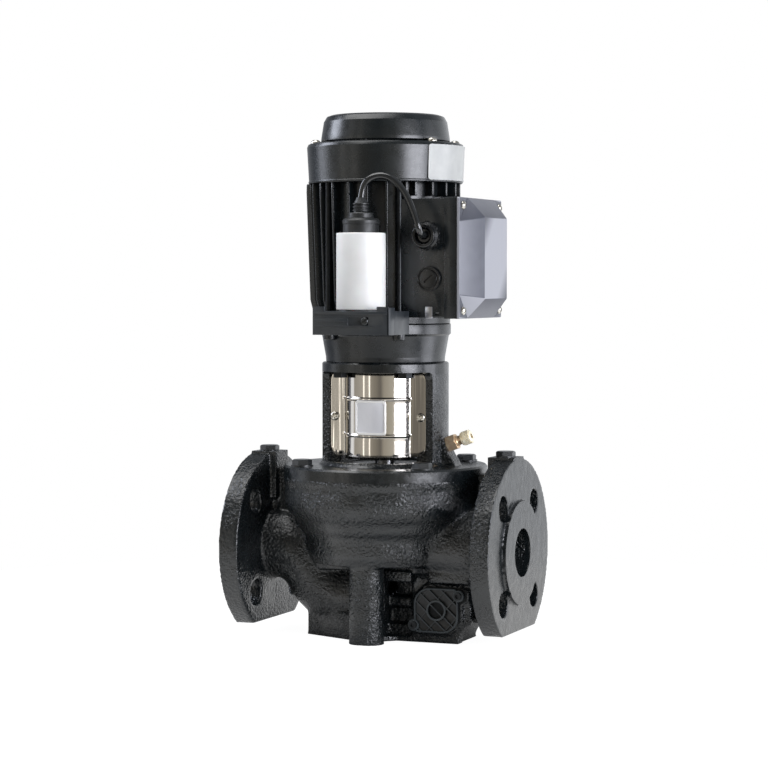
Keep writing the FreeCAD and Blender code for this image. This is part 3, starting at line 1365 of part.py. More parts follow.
def capacitor_bracket():
    """The black tray that carries the capacitor, screwed against the end shield's rim."""
    body = new_body("capacitor_bracket")
    left, right = "can_x - bracket_half", "can_x + bracket_half"
    back = "-shield_rim_radius - 4"
    tray = sketch(body, "XY", "bracket_low")
    box_outline(tray, left, right, "bracket_front", back)
    pad(body, tray, "bracket_high - bracket_low")
    neck = sketch(body, "XY", "bracket_low")
    box_outline(neck, "-bracket_neck", "bracket_neck", f"{back} - 1", "-shield_rim_radius * 0.9")
    pad(body, neck, "shield_rim_high - bracket_low")
    under = sketch(body, "XY", "bracket_low")
    box_outline(under, f"{left} + bracket_sheet", f"{right} - bracket_sheet",
                "bracket_front + bracket_sheet", f"{back} - bracket_sheet")
    pocket(body, under, "bracket_high - bracket_low - bracket_sheet", reverse=True)
    lips = sketch(body, "XY", "bracket_high - 1")
    for low, high in ((left, f"{left} + bracket_lip"), (f"{right} - bracket_lip", right)):
        box_outline(lips, low, high, "bracket_front", "bracket_front + 1.5")
    pad(body, lips, "bracket_lip / 2")
    rim = sketch(body, "XY", "bracket_low")
    circle(rim, 0, 0, "shield_rim_radius")
    pocket(body, rim, "bracket_high - bracket_low", reverse=True)
    stud = sketch(body, "XY", "bracket_high")
    circle(stud, "can_x", "can_y", "stud / 2 + 0.3")
    pocket(body, stud, "bracket_sheet + 1")
    slot = sketch(body, "XZ", "-bracket_front")
    box_outline(slot, "can_x - 2", "can_x + bracket_screw_x + 3", "bracket_high - 10", "bracket_high - 4")
    pocket(body, slot, "bracket_sheet / 2")
    hole = sketch(body, "XZ", "-bracket_front")
    circle(hole, "can_x + bracket_screw_x", "bracket_high - 7", "bracket_screw / 2")
    pocket(body, hole, "bracket_sheet + 1")
    seat = sketch(body, "XY", "bracket_high - 0.5")
    circle(seat, "can_x", "can_y", "can_radius - 2")
    circle(seat, "can_x", "can_y", "stud / 2 + 0.3")
    pad(body, seat, "can_low - bracket_high + 0.5")
    screw = new_body("bracket_screw")
    head = sketch(screw, "XZ", "-bracket_front - bracket_sheet / 2")
    circle(head, "can_x + bracket_screw_x", "bracket_high - 7", "bracket_screw * 0.55 + 0.2")
    pad(screw, head, 2)
    shank = sketch(screw, "XZ", "-bracket_front - bracket_sheet / 2")
    circle(shank, "can_x + bracket_screw_x", "bracket_high - 7", "bracket_screw / 2 - 0.1")
    pad(screw, shank, 8, reverse=True)


# The lead from the capacitor's cap into the gland, as the points its centreline turns at
LEAD_ROUTE = [(10.4, -74.3, 324), (10.4, -74.3, 338), (18, -72.8, 346.5), (31, -70.3, 346.5),
              (42.5, -68.4, 335), (49.6, -68.4, 318.5), (53.2, -69.5, 308.5), (53.4, -64.5, 303),
              (53.4, -52, 303)]


def capacitor_lead():
    """Straight runs joined by tangent arcs, each as large as its two runs allow."""
    points = [V(*p) for p in LEAD_ROUTE]
    edges = []
    start = points[0]
    for before, corner, after in zip(points, points[1:], points[2:]):
        into, out = (corner - before).normalize(), (after - corner).normalize()
        turn = into.getAngle(out)
        run = min((corner - before).Length, (after - corner).Length)
        reach = 0.45 * run
        first, last = corner - into * reach, corner + out * reach
        radius = reach / math.tan(turn / 2)
        centre = corner + (out - into).normalize() * (radius / math.cos(turn / 2))
        middle = centre + (corner - centre).normalize() * radius
        edges.append(Part.LineSegment(start, first).toShape())
        edges.append(Part.Arc(first, middle, last).toShape())
        print(f"lead turns {math.degrees(turn):.0f} degrees on a radius of {radius:.1f} mm")
        start = last
    edges.append(Part.LineSegment(start, points[-1]).toShape())
    path = Part.Wire(edges)
    section = Part.Wire(Part.makeCircle(worth("lead_width / 2"), points[0], points[1] - points[0]))
    lead = doc.addObject("Part::Feature", "capacitor_lead")
    lead.Label = "capacitor_lead"
    lead.Shape = path.makePipeShell([section], True, True)
    lead.Placement = FreeCAD.Placement(V(), Rotation())
    expected = math.pi * worth("lead_width / 2") ** 2 * path.Length
    share = lead.Shape.Volume / expected
    print(f"lead is {path.Length:.1f} mm long, its volume {share:.4f} of section times length")
    parts.append(lead)


def write_parts():
    doc.recompute()
    for obj in doc.Objects:
        if "Invalid" in obj.State or "Error" in obj.State:
            raise RuntimeError(f"{obj.Name} {obj.Label}: {obj.State}")
    os.makedirs("parts", exist_ok=True)
    for obj in parts:
        shape = obj.Shape
        if shape.isNull() or not shape.isValid():
            raise RuntimeError(f"{obj.Label} has no sound shape")
        shape.exportStep(f"parts/{obj.Label}.step")
    print(len(parts), "nodes")


pump_housing()
turned("wear_ring", [("wear_ring_bore / 2", "chamber_floor - 8"),
                     ("wear_ring_outer / 2", "chamber_floor - 8"),
                     ("wear_ring_outer / 2", "chamber_floor"), ("wear_ring_bore / 2", "chamber_floor")])
gauge_plugs()
service_cover()
motor_stool()
turned("housing_seal", [("chamber_radius - spigot_clearance - 1.2", "joint_height - ring_section + 0.5"),
                        ("chamber_radius + ring_section - 0.5", "joint_height - ring_section + 0.5"),
                        ("chamber_radius + ring_section - 0.5", "joint_height"),
                        ("chamber_radius - spigot_clearance - 1.2", "joint_height")])
four_screws("cover_bolts", "cover_bolt_circle / 2", 45, "cover_bolt - 0.2", 13, "joint_height + disc_thick",
            "joint_height + disc_thick + 5.3", "joint_height - 14")
coupling_guard("coupling_guard_front", False)
coupling_guard("coupling_guard_rear", True)
guard_screws()
guard_badge()
vent()
impeller()
pump_rotor()
coupling()
motor_end_shield()
four_screws("motor_flange_screws", "motor_screw_circle / 2", 45, "motor_screw - 0.2", "motor_screw * 1.6",
            "stool_height - stool_top - 6", "stool_height - stool_top", "shield_floor - 2")
stator()
motor_rotor()
bearing("lower", "lower_bearing")
bearing("upper", "upper_bearing")
rear_end_shield()
four_screws("tie_bolts", "tie_radius", "tie_angle", "tie_bolt - 0.2", "tie_bolt * 1.5",
            "stator_top + rear_plate", "stator_top + rear_plate + 3.5", "shield_rim_low - 2")
fan_and_covers()
terminal_box()
terminal_box_lid()
terminal_fittings()
capacitor()
capacitor_bracket()
capacitor_lead()
write_parts()
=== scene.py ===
import math

import bpy
from mathutils import Matrix, Vector


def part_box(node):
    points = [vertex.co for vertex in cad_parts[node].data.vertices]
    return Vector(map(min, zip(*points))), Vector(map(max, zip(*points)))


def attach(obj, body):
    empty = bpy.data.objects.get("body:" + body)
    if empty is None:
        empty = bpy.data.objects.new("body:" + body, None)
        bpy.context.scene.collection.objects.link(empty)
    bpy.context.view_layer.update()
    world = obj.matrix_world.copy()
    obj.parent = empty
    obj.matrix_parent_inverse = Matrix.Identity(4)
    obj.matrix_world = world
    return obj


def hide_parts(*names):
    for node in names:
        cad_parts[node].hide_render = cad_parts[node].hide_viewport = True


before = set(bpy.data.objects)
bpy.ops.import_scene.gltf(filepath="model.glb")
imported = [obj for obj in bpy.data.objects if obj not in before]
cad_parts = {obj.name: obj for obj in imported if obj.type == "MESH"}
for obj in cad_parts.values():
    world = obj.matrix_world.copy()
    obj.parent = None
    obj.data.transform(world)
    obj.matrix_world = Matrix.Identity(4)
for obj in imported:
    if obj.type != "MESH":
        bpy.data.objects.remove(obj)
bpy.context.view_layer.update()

scene = bpy.context.scene
scene.view_settings.view_transform = "Standard"

# Camera
# The picture is square, taken from the discharge side with a long lens near the pump's middle
# height. Turn, tilt, distance and lens come from fitting a pinhole camera to both pipe flanges.
port_height = 0.068
camera_turn = math.radians(21.77)
camera_tilt = math.radians(2.37)
camera_distance = 1.85351
camera_aside = -0.00116
camera_rise = 0.12388
lens_in_pixels = 2434.82
picture_pixels = 768
sensor = 36

camera_back = Vector((math.sin(camera_turn) * math.cos(camera_tilt),
                      -math.cos(camera_turn) * math.cos(camera_tilt), math.sin(camera_tilt)))
camera_right = Vector((math.cos(camera_turn), math.sin(camera_turn), 0))
camera_up = camera_back.cross(camera_right)
camera_place = camera_back * camera_distance + camera_right * camera_aside + camera_up * camera_rise
camera_place.z += port_height
camera_data = bpy.data.cameras.new("camera")
camera_data.sensor_width = sensor
camera_data.lens = lens_in_pixels / picture_pixels * sensor
camera = bpy.data.objects.new("camera", camera_data)
scene.collection.objects.link(camera)
camera.matrix_world = Matrix((
    (camera_right.x, camera_up.x, camera_back.x, camera_place.x),
    (camera_right.y, camera_up.y, camera_back.y, camera_place.y),
    (camera_right.z, camera_up.z, camera_back.z, camera_place.z), (0, 0, 0, 1)))
scene.camera = camera


# Studio
# A round white table on a white background, with two soft lamps on the right, one on the left and
# one above. What shiny metal mirrors beyond the table is a grey studio with narrow light strips.
def linear(code):
    """A colour written as sRGB hex, as the linear values that the shaders take."""
    parts = [int(code[i:i + 2], 16) / 255 for i in (1, 3, 5)]
    return tuple(c / 12.92 if c <= 0.04045 else ((c + 0.055) / 1.055) ** 2.4 for c in parts) + (1,)


def add_node(tree, kind, fields=None, inputs=None, stops=()):
    """Adds a shader node, sets its fields, its inputs and its colour stops, and links the inputs that
    come as sockets, or as nodes, of which the first output is taken."""
    node = tree.nodes.new("ShaderNode" + kind)
    for name, value in (fields or {}).items():
        setattr(node, name, value)
    for name, value in (inputs or {}).items():
        if isinstance(value, bpy.types.Node):
            value = value.outputs[0]
        if isinstance(value, bpy.types.NodeSocket):
            tree.links.new(value, node.inputs[name])
        else:
            node.inputs[name].default_value = value
    while stops and len(node.color_ramp.elements) < len(stops):
        node.color_ramp.elements.new(0.5)
    for element, (position, code) in zip(node.color_ramp.elements if stops else (), stops):
        element.position = position
        element.color = linear(code)
    return node


world = bpy.data.worlds.new("studio")
world.use_nodes = True
scene.world = world
tree = world.node_tree
tree.nodes.clear()
path = add_node(tree, "LightPath")
around = add_node(tree, "TexCoord").outputs["Generated"]
sweep = add_node(tree, "TexGradient", {"gradient_type": "RADIAL"}, {"Vector": around})
panels = add_node(tree, "ValToRGB", inputs={"Fac": sweep.outputs["Fac"]}, stops=[
    (0.000, "#b6b8bc"), (0.022, "#b6b8bc"), (0.032, "#77746e"), (0.119, "#85827c"), (0.123, "#fffaf2"),
    (0.131, "#fffaf2"), (0.135, "#85827c"), (0.171, "#85827c"), (0.175, "#fffaf2"), (0.182, "#fffaf2"),
    (0.187, "#7c7871"), (0.240, "#66625b"), (0.280, "#524f4b"), (0.310, "#7a766e"), (0.388, "#8b8880"),
    (0.395, "#cbcbcd"), (0.470, "#cbcbcd"), (0.485, "#3a3b3f"), (0.505, "#44464a"), (0.530, "#d0d2d5"),
    (0.600, "#b3b5b8"), (0.650, "#c6c8cb"), (0.750, "#c6c8cb"), (0.790, "#949699"), (0.930, "#5c5e63"),
    (0.980, "#3c3f48"), (0.990, "#b6b8bc")])
height = add_node(tree, "SeparateXYZ", inputs={"Vector": around}).outputs["Z"]
off_level = add_node(tree, "Math", {"operation": "ABSOLUTE"}, {0: height})
brightness = add_node(tree, "MapRange", inputs={
    "Value": off_level, "From Min": 0.2, "From Max": 0.5, "To Min": 2.0, "To Max": 0.7})
ambient = add_node(tree, "Background", inputs={"Color": linear("#eef1f6"), "Strength": 0.40})
mirrored = add_node(tree, "Background", inputs={"Color": panels, "Strength": brightness})
white = add_node(tree, "Background", inputs={"Color": (1, 1, 1, 1), "Strength": 1.0})
shiny = add_node(tree, "Math", {"operation": "MAXIMUM"}, {
    0: path.outputs["Is Glossy Ray"], 1: path.outputs["Is Transmission Ray"]})
lit = add_node(tree, "MixShader", inputs={"Fac": shiny, 1: ambient, 2: mirrored})
seen = add_node(tree, "MixShader", inputs={"Fac": path.outputs["Is Camera Ray"], 1: lit, 2: white})
add_node(tree, "OutputWorld", inputs={"Surface": seen})

table_radius = 0.55
bpy.ops.object.select_all(action="DESELECT")
bpy.ops.mesh.primitive_circle_add(vertices=96, radius=table_radius, fill_type="NGON")
table = bpy.context.object
table.name = "table_top"
table_paper = bpy.data.materials.new("white_background_paper")
table_paper.use_nodes = True
tree = table_paper.node_tree
tree.nodes.clear()
path = add_node(tree, "LightPath")
paper = add_node(tree, "BsdfDiffuse", inputs={"Color": linear("#b8b8b8")})
glow = add_node(tree, "Emission", inputs={"Color": (1, 1, 1, 1), "Strength": 1.38})
# metal mirrors the table's glow only from beyond the pump's own shadow
table_out = add_node(tree, "VectorMath", {"operation": "LENGTH"}, {
    0: add_node(tree, "TexCoord").outputs["Object"]}).outputs["Value"]
beyond_shadow = add_node(tree, "MapRange", inputs={
    "Value": table_out, "From Min": 0.06, "From Max": 0.14, "To Min": 0.0, "To Max": 0.95})
mirrored_paper = add_node(tree, "Math", {"operation": "MULTIPLY"}, {
    0: path.outputs["Is Glossy Ray"], 1: beyond_shadow})
share = add_node(tree, "Math", {"operation": "MULTIPLY_ADD"}, {
    0: path.outputs["Is Camera Ray"], 1: 0.7, 2: mirrored_paper})
mixed = add_node(tree, "MixShader", inputs={"Fac": share, 1: paper, 2: glow})
add_node(tree, "OutputMaterial", inputs={"Surface": mixed})
table.data.materials.append(table_paper)


lamp_aim = Vector((0, 0, 0.19))


def soft_lamp(name, aside, distance, height, width, tall, power, tint):
    """A soft lamp that looks at the pump; aside is its angle to the right of the camera."""
    data = bpy.data.lights.new(name, "AREA")
    data.shape = "RECTANGLE"
    data.size = width
    data.size_y = tall
    data.energy = power
    data.color = linear(tint)[:3]
    lamp = bpy.data.objects.new(name, data)
    scene.collection.objects.link(lamp)
    angle = camera_turn + math.radians(aside)
    place = Vector((math.sin(angle) * distance, -math.cos(angle) * distance, height))
    facing = (lamp_aim - place).to_track_quat("-Z", "Y").to_matrix().to_4x4()
    lamp.matrix_world = Matrix.Translation(place) @ facing
    lamp.visible_camera = False


soft_lamp("right_lamp", 45, 1.15, 0.36, 0.66, 0.56, 11.5, "#f3f5ff")
soft_lamp("side_lamp", 88, 1.15, 0.15, 0.56, 0.90, 5.0, "#f3f5ff")
soft_lamp("left_lamp", -104, 1.10, 0.76, 0.46, 0.72, 7.8, "#eaf0ff")
soft_lamp("top_lamp", -70, 0.32, 1.25, 0.9, 0.9, 10.0, "#ffffff")


# Pump housing
# One grey-iron sand casting with both flanges, the volute bowl, the suction elbow and the foot.
# It is primed and dipped black, so every edge is round and the skin shows the sand's grain; the
# flange faces and the joint are turned after casting and stay sharp, the faces with a faint grain.
def select_only(obj):
    if bpy.context.object and bpy.context.object.mode == "EDIT":
        bpy.ops.object.mode_set(mode="OBJECT")
    bpy.ops.object.select_all(action="DESELECT")
    obj.select_set(True)
    bpy.context.view_layer.objects.active = obj


def apply_modifier(obj, kind, **settings):
    select_only(obj)
    modifier = obj.modifiers.new(kind.title(), kind)
    for name, value in settings.items():
        setattr(modifier, name, value)
    bpy.ops.object.modifier_apply(modifier=modifier.name)


def ease(piece, width, segments=2, angle=30):
    """Rounds the edges that turn by more than an angle."""
    apply_modifier(piece, "BEVEL", width=width, segments=segments, limit_method="ANGLE",
                   angle_limit=math.radians(angle))


def edit(piece, operator, **settings):
    """Runs a mesh operator on the whole of a piece, in edit mode."""
    select_only(piece)
    bpy.ops.object.mode_set(mode="EDIT")
    bpy.ops.mesh.select_all(action="SELECT")
    operator(**settings)
    bpy.ops.object.mode_set(mode="OBJECT")
    return piece


def clean(piece):
    """Merges doubled points and turns all faces outwards."""
    edit(piece, bpy.ops.mesh.remove_doubles, threshold=1e-6)
    return edit(piece, bpy.ops.mesh.normals_make_consistent, inside=False)


def new_piece(name, points, edges, faces):
    mesh = bpy.data.meshes.new(name)
    mesh.from_pydata(points, edges, faces)
    piece = bpy.data.objects.new(name, mesh)
    scene.collection.objects.link(piece)
    return piece


def copy_of(node, name):
    """A new piece with the shape of a CAD node, its doubled points merged."""
    piece = bpy.data.objects.new(name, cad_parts[node].data.copy())
    scene.collection.objects.link(piece)
    piece.data.materials.clear()
    clean(piece)
    bpy.ops.mesh.customdata_custom_splitnormals_clear()
    return piece


def join(pieces):
    """Makes one piece of several, under the first one's name."""
    select_only(pieces[0])
    for piece in pieces:
        piece.select_set(True)
    bpy.ops.object.join()
    return pieces[0]


def block(low, high, round_edges=0):
    """A box between two corners, with rounded edges."""
    low, high = Vector(low), Vector(high)
    bpy.ops.object.select_all(action="DESELECT")
    bpy.ops.mesh.primitive_cube_add(size=1, location=(low + high) / 2)
    piece = bpy.context.object
    piece.scale = high - low
    bpy.ops.object.transform_apply(location=True, rotation=True, scale=True)
    if round_edges:
        apply_modifier(piece, "BEVEL", width=round_edges, segments=2)
    return piece


def prism(outline, start, end, axis="Z"):
    """An outline pushed along an axis: (x, y) points along Z, (x, z) along Y, (y, z) along X."""
    along = "XYZ".index(axis)
    points = [(*point[:along], start, *point[along:]) for point in outline]
    push = [0, 0, 0]
    push[along] = end - start
    piece = new_piece("prism", points, [], [list(range(len(outline)))])
    edit(piece, bpy.ops.mesh.extrude_region_move, TRANSFORM_OT_translate={"value": push})
    return edit(piece, bpy.ops.mesh.normals_make_consistent, inside=False)


def combine(piece, other, operation):
    """A boolean of two pieces; the second one is used up."""
    apply_modifier(piece, "BOOLEAN", object=other, operation=operation, solver="EXACT")
    bpy.data.objects.remove(other)
    return piece


def cut(piece, other):
    return combine(piece, other, "DIFFERENCE")


def cast(piece, grain, machined, rounds, softer=None):
    """Melts a piece into one skin, and rounds it everywhere but on its machined places. What is
    softer, such as a wide throat, is rounded three times as much again."""
    select_only(piece)
    piece.data.remesh_voxel_size = grain
    bpy.ops.object.voxel_remesh()
    skin = piece.vertex_groups.new(name="skin")
    skin.add([v.index for v in piece.data.vertices if not machined(v.co)], 1.0, "REPLACE")
    apply_modifier(piece, "SMOOTH", factor=0.5, iterations=rounds, vertex_group="skin")
    if softer:
        throat = piece.vertex_groups.new(name="throat")
        throat.add([v.index for v in piece.data.vertices if softer(v.co)], 1.0, "REPLACE")
        apply_modifier(piece, "SMOOTH", factor=0.5, iterations=rounds * 3, vertex_group="throat")
    piece.vertex_groups.clear()


def finish(piece, name, body, material, replaced=(), smooth=30):
    """Names a piece, paints it, smooths its shading and hands it to the frame."""
    select_only(piece)
    piece.name = name
    piece.data.name = name
    piece.data.materials.clear()
    piece.data.materials.append(material)
    bpy.ops.object.shade_smooth_by_angle(angle=math.radians(smooth))
    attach(piece, body)
    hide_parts(*replaced)


def per_metre(size_mm):
    """The scale of a pattern whose grains are this wide."""
    return 1000 / size_mm


def surface(name, colour, roughness, metallic=0.0, grain=None, tones=None, gloss=None):
    """A material, with the piece's own coordinates in metres. Its grain is (width, depth) in mm, its
    tones are (width in mm, dark, light), and gloss is (width in mm, least and most roughness)."""
    material = bpy.data.materials.new(name)
    material.use_nodes = True
    tree = material.node_tree
    tree.nodes.clear()
    place = add_node(tree, "TexCoord").outputs["Object"]
    inputs = {"Base Color": linear(colour), "Roughness": roughness, "Metallic": metallic}
    for socket, numbers in (("Normal", grain), ("Base Color", tones), ("Roughness", gloss)):
        if not numbers:
            continue
        pattern = add_node(tree, "TexNoise", inputs={
            "Vector": place, "Scale": per_metre(numbers[0]), "Detail": 2.0})
        if socket == "Normal":
            inputs[socket] = add_node(tree, "Bump", inputs={
                "Height": pattern, "Strength": 1.0, "Distance": numbers[1] / 1000})
        elif socket == "Base Color":
            inputs[socket] = add_node(tree, "ValToRGB", inputs={"Fac": pattern},
                                      stops=[(0.3, numbers[1]), (0.7, numbers[2])])
        else:
            inputs[socket] = add_node(tree, "MapRange", inputs={
                "Value": pattern, "From Min": 0.3, "From Max": 0.7,
                "To Min": numbers[1], "To Max": numbers[2]})
    shader = add_node(tree, "BsdfPrincipled", inputs=inputs)
    add_node(tree, "OutputMaterial", inputs={"Surface": shader})
    return material, tree, shader, place


def casting_enamel(name, grain_mm, depth_mm, faces=None, turned_below=None, turned_above=None):
    """Black enamel on sand-cast iron. The real sand grain is about 0.5 mm and is drawn coarser, so
    that it shows; it glitters where a lamp meets it and leaves smooth pools between. Turned faces,
    beyond a distance along X or outside a band of heights, keep no grain."""
    material, tree, shader, place = surface(name, "#0f1315", 0.36, tones=(14, "#0b0f11", "#13181a"),
                                            gloss=(5, 0.20, 0.32))
    shader.inputs["Specular IOR Level"].default_value = 0.6
    sand = add_node(tree, "TexNoise", inputs={"Vector": place, "Scale": per_metre(grain_mm), "Detail": 2.0})
    grain = add_node(tree, "MapRange", inputs={
        "Value": sand, "From Min": 0.36, "From Max": 0.64, "To Min": 0.0, "To Max": 1.0})
    patches = add_node(tree, "TexNoise", inputs={"Vector": place, "Scale": per_metre(26), "Detail": 1.0})
    pools = add_node(tree, "MapRange", inputs={
        "Value": patches, "From Min": 0.38, "From Max": 0.62, "To Min": 0.3, "To Max": 1.0})
    parts = add_node(tree, "SeparateXYZ", inputs={"Vector": place}).outputs
    turned = []
    if faces:
        away = add_node(tree, "Math", {"operation": "ABSOLUTE"}, {0: parts["X"]})
        turned.append((away, faces - 0.0006, faces, 1.0, 0.22))
    if turned_below:
        turned.append((parts["Z"], turned_below, turned_below + 0.002, 0.06, 1.0))
        turned.append((parts["Z"], turned_above, turned_above - 0.002, 0.06, 1.0))
    for value, start, end, low, high in turned:
        kept = add_node(tree, "MapRange", inputs={
            "Value": value, "From Min": start, "From Max": end, "To Min": low, "To Max": high})
        pools = add_node(tree, "Math", {"operation": "MULTIPLY"}, {0: pools, 1: kept})
    swell = add_node(tree, "TexNoise", inputs={"Vector": place, "Scale": per_metre(9), "Detail": 1.0})
    skin = add_node(tree, "Bump", inputs={"Height": swell, "Strength": 0.6, "Distance": 0.0005})
    skin = add_node(tree, "Bump", inputs={
        "Height": grain, "Strength": pools, "Distance": depth_mm / 1000, "Normal": skin})
    tree.links.new(skin.outputs[0], shader.inputs["Normal"])
    return material


flange_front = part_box("pump_housing")[1].x - 0.003
flange_back = flange_front - 0.015
bowl_radius = 0.0775
joint_height = 0.1224
foot_front = -0.022

housing = copy_of("pump_housing", "housing")


def rod(start, end, radius, vertices=64):
    """A round bar between two points."""
    start, end = Vector(start), Vector(end)
    bpy.ops.object.select_all(action="DESELECT")
    bpy.ops.mesh.primitive_cylinder_add(vertices=vertices, radius=radius, depth=(end - start).length)
    piece = bpy.context.object
    lean = (end - start).to_track_quat("Z", "Y").to_matrix().to_4x4()
    piece.data.transform(Matrix.Translation((start + end) / 2) @ lean)
    return piece


def turn(points, centre=(0, 0), steps=72):
    """Spins an outline of (radius, height) points about a vertical axis."""
    edges = [(i, i + 1) for i in range(len(points) - 1)]
    piece = new_piece("turned", [(centre[0] + r, centre[1], z) for r, z in points], edges, [])
    edit(piece, bpy.ops.mesh.spin, steps=steps, angle=2 * math.pi, center=(*centre, 0), axis=(0, 0, 1))
    return clean(piece)


# the discharge neck swells out of the bowl; a web behind each flange carries its gauge boss
web_half = 0.0065
neck_centre, neck_radius = 0.075, 0.034
forms = [rod((0.030, 0, neck_centre), (flange_back + 0.001, 0, port_height), neck_radius),
         block((-flange_back - 0.001, -web_half, port_height), (-bowl_radius + 0.012, web_half, 0.126)),
         block((bowl_radius - 0.012, -web_half, 0.085), (flange_back + 0.001, web_half, 0.126))]
# the bowl's upper wall stands upright and turns in to the volute in one round
bowl_wall, bowl_inner, bowl_top = 0.0764, 0.0675, 0.1178
forms.append(turn([(bowl_inner, 0.0900), (0.0690, 0.0908), (0.0722, 0.0938), (0.0748, 0.0975),
                   (0.0760, 0.1010), (bowl_wall, 0.1045), (bowl_wall, bowl_top), (bowl_inner, bowl_top),
                   (bowl_inner, 0.0900)], steps=144))
# the column's flank, and the ledges under the bowl
column_y, column_flank = -0.044, 0.0045
ledge_low, ledge_high, ledge_front = 0.0455, 0.0535, -0.031
forms += [rod((column_flank, column_y, 0), (column_flank, column_y, 0.063), 0.011),
          block((0.004, ledge_front, ledge_low), (0.033, -0.008, ledge_high)),
          block((0.046, ledge_front + 0.001, ledge_low), (0.078, -0.006, ledge_high))]
# the foot's front is hollow, and its end is undercut
recess = block((0.0095, -0.030, 0.004), (0.0295, foot_front + 0.010, 0.0450))
undercut = rod((0.078, -0.012, 0.0), (0.078, 0.030, 0.0), 0.0125)
housing = cut(cut(housing, recess), undercut)
# the bowl is cored out below on either side of the passages, as far as the columns
bowl_foot, bowl_core = 0.0575, 0.0275
for side in (-1, 1):
    core = block((-bowl_radius, side * bowl_core, 0.049), (bowl_radius, side * bowl_radius, bowl_foot))
    core = cut(core, rod((0, -side * column_y, 0.040), (0, -side * column_y, 0.070), 0.0109))
    housing = cut(housing, core)
# two shelves stand in the foot's hollow
for low, high, sunk in ((0.0250, 0.0330, 0.005), (0.0030, 0.0125, 0.003)):
    forms.append(block((0.009, foot_front + sunk, low), (0.030, -0.008, high)))
housing = join([housing] + forms)


def turned_on_housing(co):
    return abs(co.x) > flange_front - 0.001 or co.z > joint_height - 0.0012 or co.z < 0.0008


def bowl_throat(co):
    """The hollow between the volute and the wider bowl above it."""
    return 0.070 < co.z < 0.093 and math.hypot(co.x, co.y) < 0.071


cast(housing, 0.00125, turned_on_housing, 12, bowl_throat)
housing_enamel = casting_enamel("black_enamel_on_cast_iron", 2.2, 0.58, faces=flange_front - 0.001)
finish(housing, "cast_housing", "pump", housing_enamel, ["pump_housing"], 50)


# Service cover
# A moulded nylon cover over the by-pass chamber: a raised rim, slanted ribs with finer cross bars,
# and an open hub with one bar across. Two socket screws in its ears hold it on a paper gasket.
def rounded(points, radius, steps=5):
    """An outline with its corners rounded by arcs, all of one radius or each of its own."""
    result = []
    count = len(points)
    radii = radius if isinstance(radius, (list, tuple)) else [radius] * count
    for i, corner in enumerate(points):
        corner = Vector(corner)
        before = Vector(points[i - 1]) - corner
        after = Vector(points[(i + 1) % count]) - corner
        half = before.angle(after) / 2
        reach = min(radii[i] / math.tan(half), before.length * 0.48, after.length * 0.48)
        fillet = reach * math.tan(half)
        centre = corner + (before.normalized() + after.normalized()).normalized() * (fillet / math.sin(half))
        first, last = corner + before.normalized() * reach, corner + after.normalized() * reach
        swing = (first - centre).angle_signed(last - centre)
        for step in range(steps + 1):
            arm = first - centre
            arm.rotate(Matrix.Rotation(-swing * step / steps, 2))
            result.append(tuple(centre + arm))
    return result


def rectangle(middle, half_width, half_height):
    """The corners of a rectangle, from the lower left one round."""
    return [(middle[0] + a * half_width, middle[1] + b * half_height)
            for a, b in ((-1, -1), (1, -1), (1, 1), (-1, 1))]


cover_low, cover_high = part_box("service_cover")
cover_x, cover_z = 0.052, 0.0254
cover_front, cover_back = cover_low.y, cover_high.y
cover_half_x, cover_half_z = 0.0174, 0.0167
wide_corner, tight_corner = 0.0125, 0.004
ear_x, ear_z = 0.0177, 0.0115
lattice_slant = math.radians(-43)


def cover_outline(inset):
    """The cover seen from the front: two corners are wide arcs, the other two run into the ears."""
    corners = rectangle((cover_x, cover_z), cover_half_x - inset, cover_half_z - inset)
    wide, tight = wide_corner - inset, max(tight_corner - inset, 0.001)
    return rounded(corners, (tight, wide, tight, wide), 9)


def slanted(piece):
    return edit(piece, bpy.ops.transform.rotate, value=lattice_slant, orient_axis="Y",
                center_override=(cover_x, cover_front, cover_z))


def ring(centre, outer, inner, start, end, axis="Y", vertices=48):
    """A flat ring along an axis; with no inner radius it is a disc."""
    turns = {"X": (0, math.pi / 2, 0), "Y": (math.pi / 2, 0, 0), "Z": (0, 0, 0)}
    along = {"X": 0, "Y": 1, "Z": 2}[axis]
    made = []
    for radius, grow in ((outer, 0), (inner, 0.001)):
        if radius <= 0:
            continue
        place = list(centre)
        place[along] = (start + end) / 2
        bpy.ops.object.select_all(action="DESELECT")
        bpy.ops.mesh.primitive_cylinder_add(vertices=vertices, radius=radius, depth=abs(end - start) + grow,
                                            location=place, rotation=turns[axis])
        bpy.ops.object.transform_apply(location=True, rotation=True, scale=True)
        made.append(bpy.context.object)
    return cut(*made) if len(made) == 2 else made[0]


floor_face, rim_width, hub_radius, hub_hole = cover_back - 0.0018, 0.0013, 0.0077, 0.0063
hub_centre = (cover_x, 0, cover_z)
cover = prism(cover_outline(0), cover_back, cover_front, "Y")
cover = cut(cover, prism(cover_outline(rim_width), floor_face, cover_front - 0.001, "Y"))
cover = cut(cover, ring(hub_centre, hub_hole, 0, cover_front - 0.001, cover_back + 0.001))
ease(cover, 0.0003)
rib_half, bar_half, lattice_reach = 0.00045, 0.0004, 0.026
lattice = []
for step in range(-3, 4):
    middle = cover_z + step * 0.0067 + 0.0004
    lattice.append((cover_x, middle, lattice_reach, rib_half, 0.0008))
for step in (-1.55, -0.5, 0.5, 1.55):
    middle = cover_x + step * 0.0098
    lattice.append((middle, cover_z, bar_half, lattice_reach, 0.0013))
pieces = [cover]
for x, z, half_x, half_z, sunk in lattice:
    bar = slanted(block((x - half_x, cover_front + sunk, z - half_z),
                        (x + half_x, floor_face + 0.0002, z + half_z)))
    bar = combine(bar, prism(cover_outline(rim_width - 0.0003), cover_back, cover_front, "Y"), "INTERSECT")
    if bar.data.vertices:
        bar = cut(bar, ring(hub_centre, hub_hole + 0.0004, 0, cover_front - 0.001, cover_back))
        pieces.append(bar)
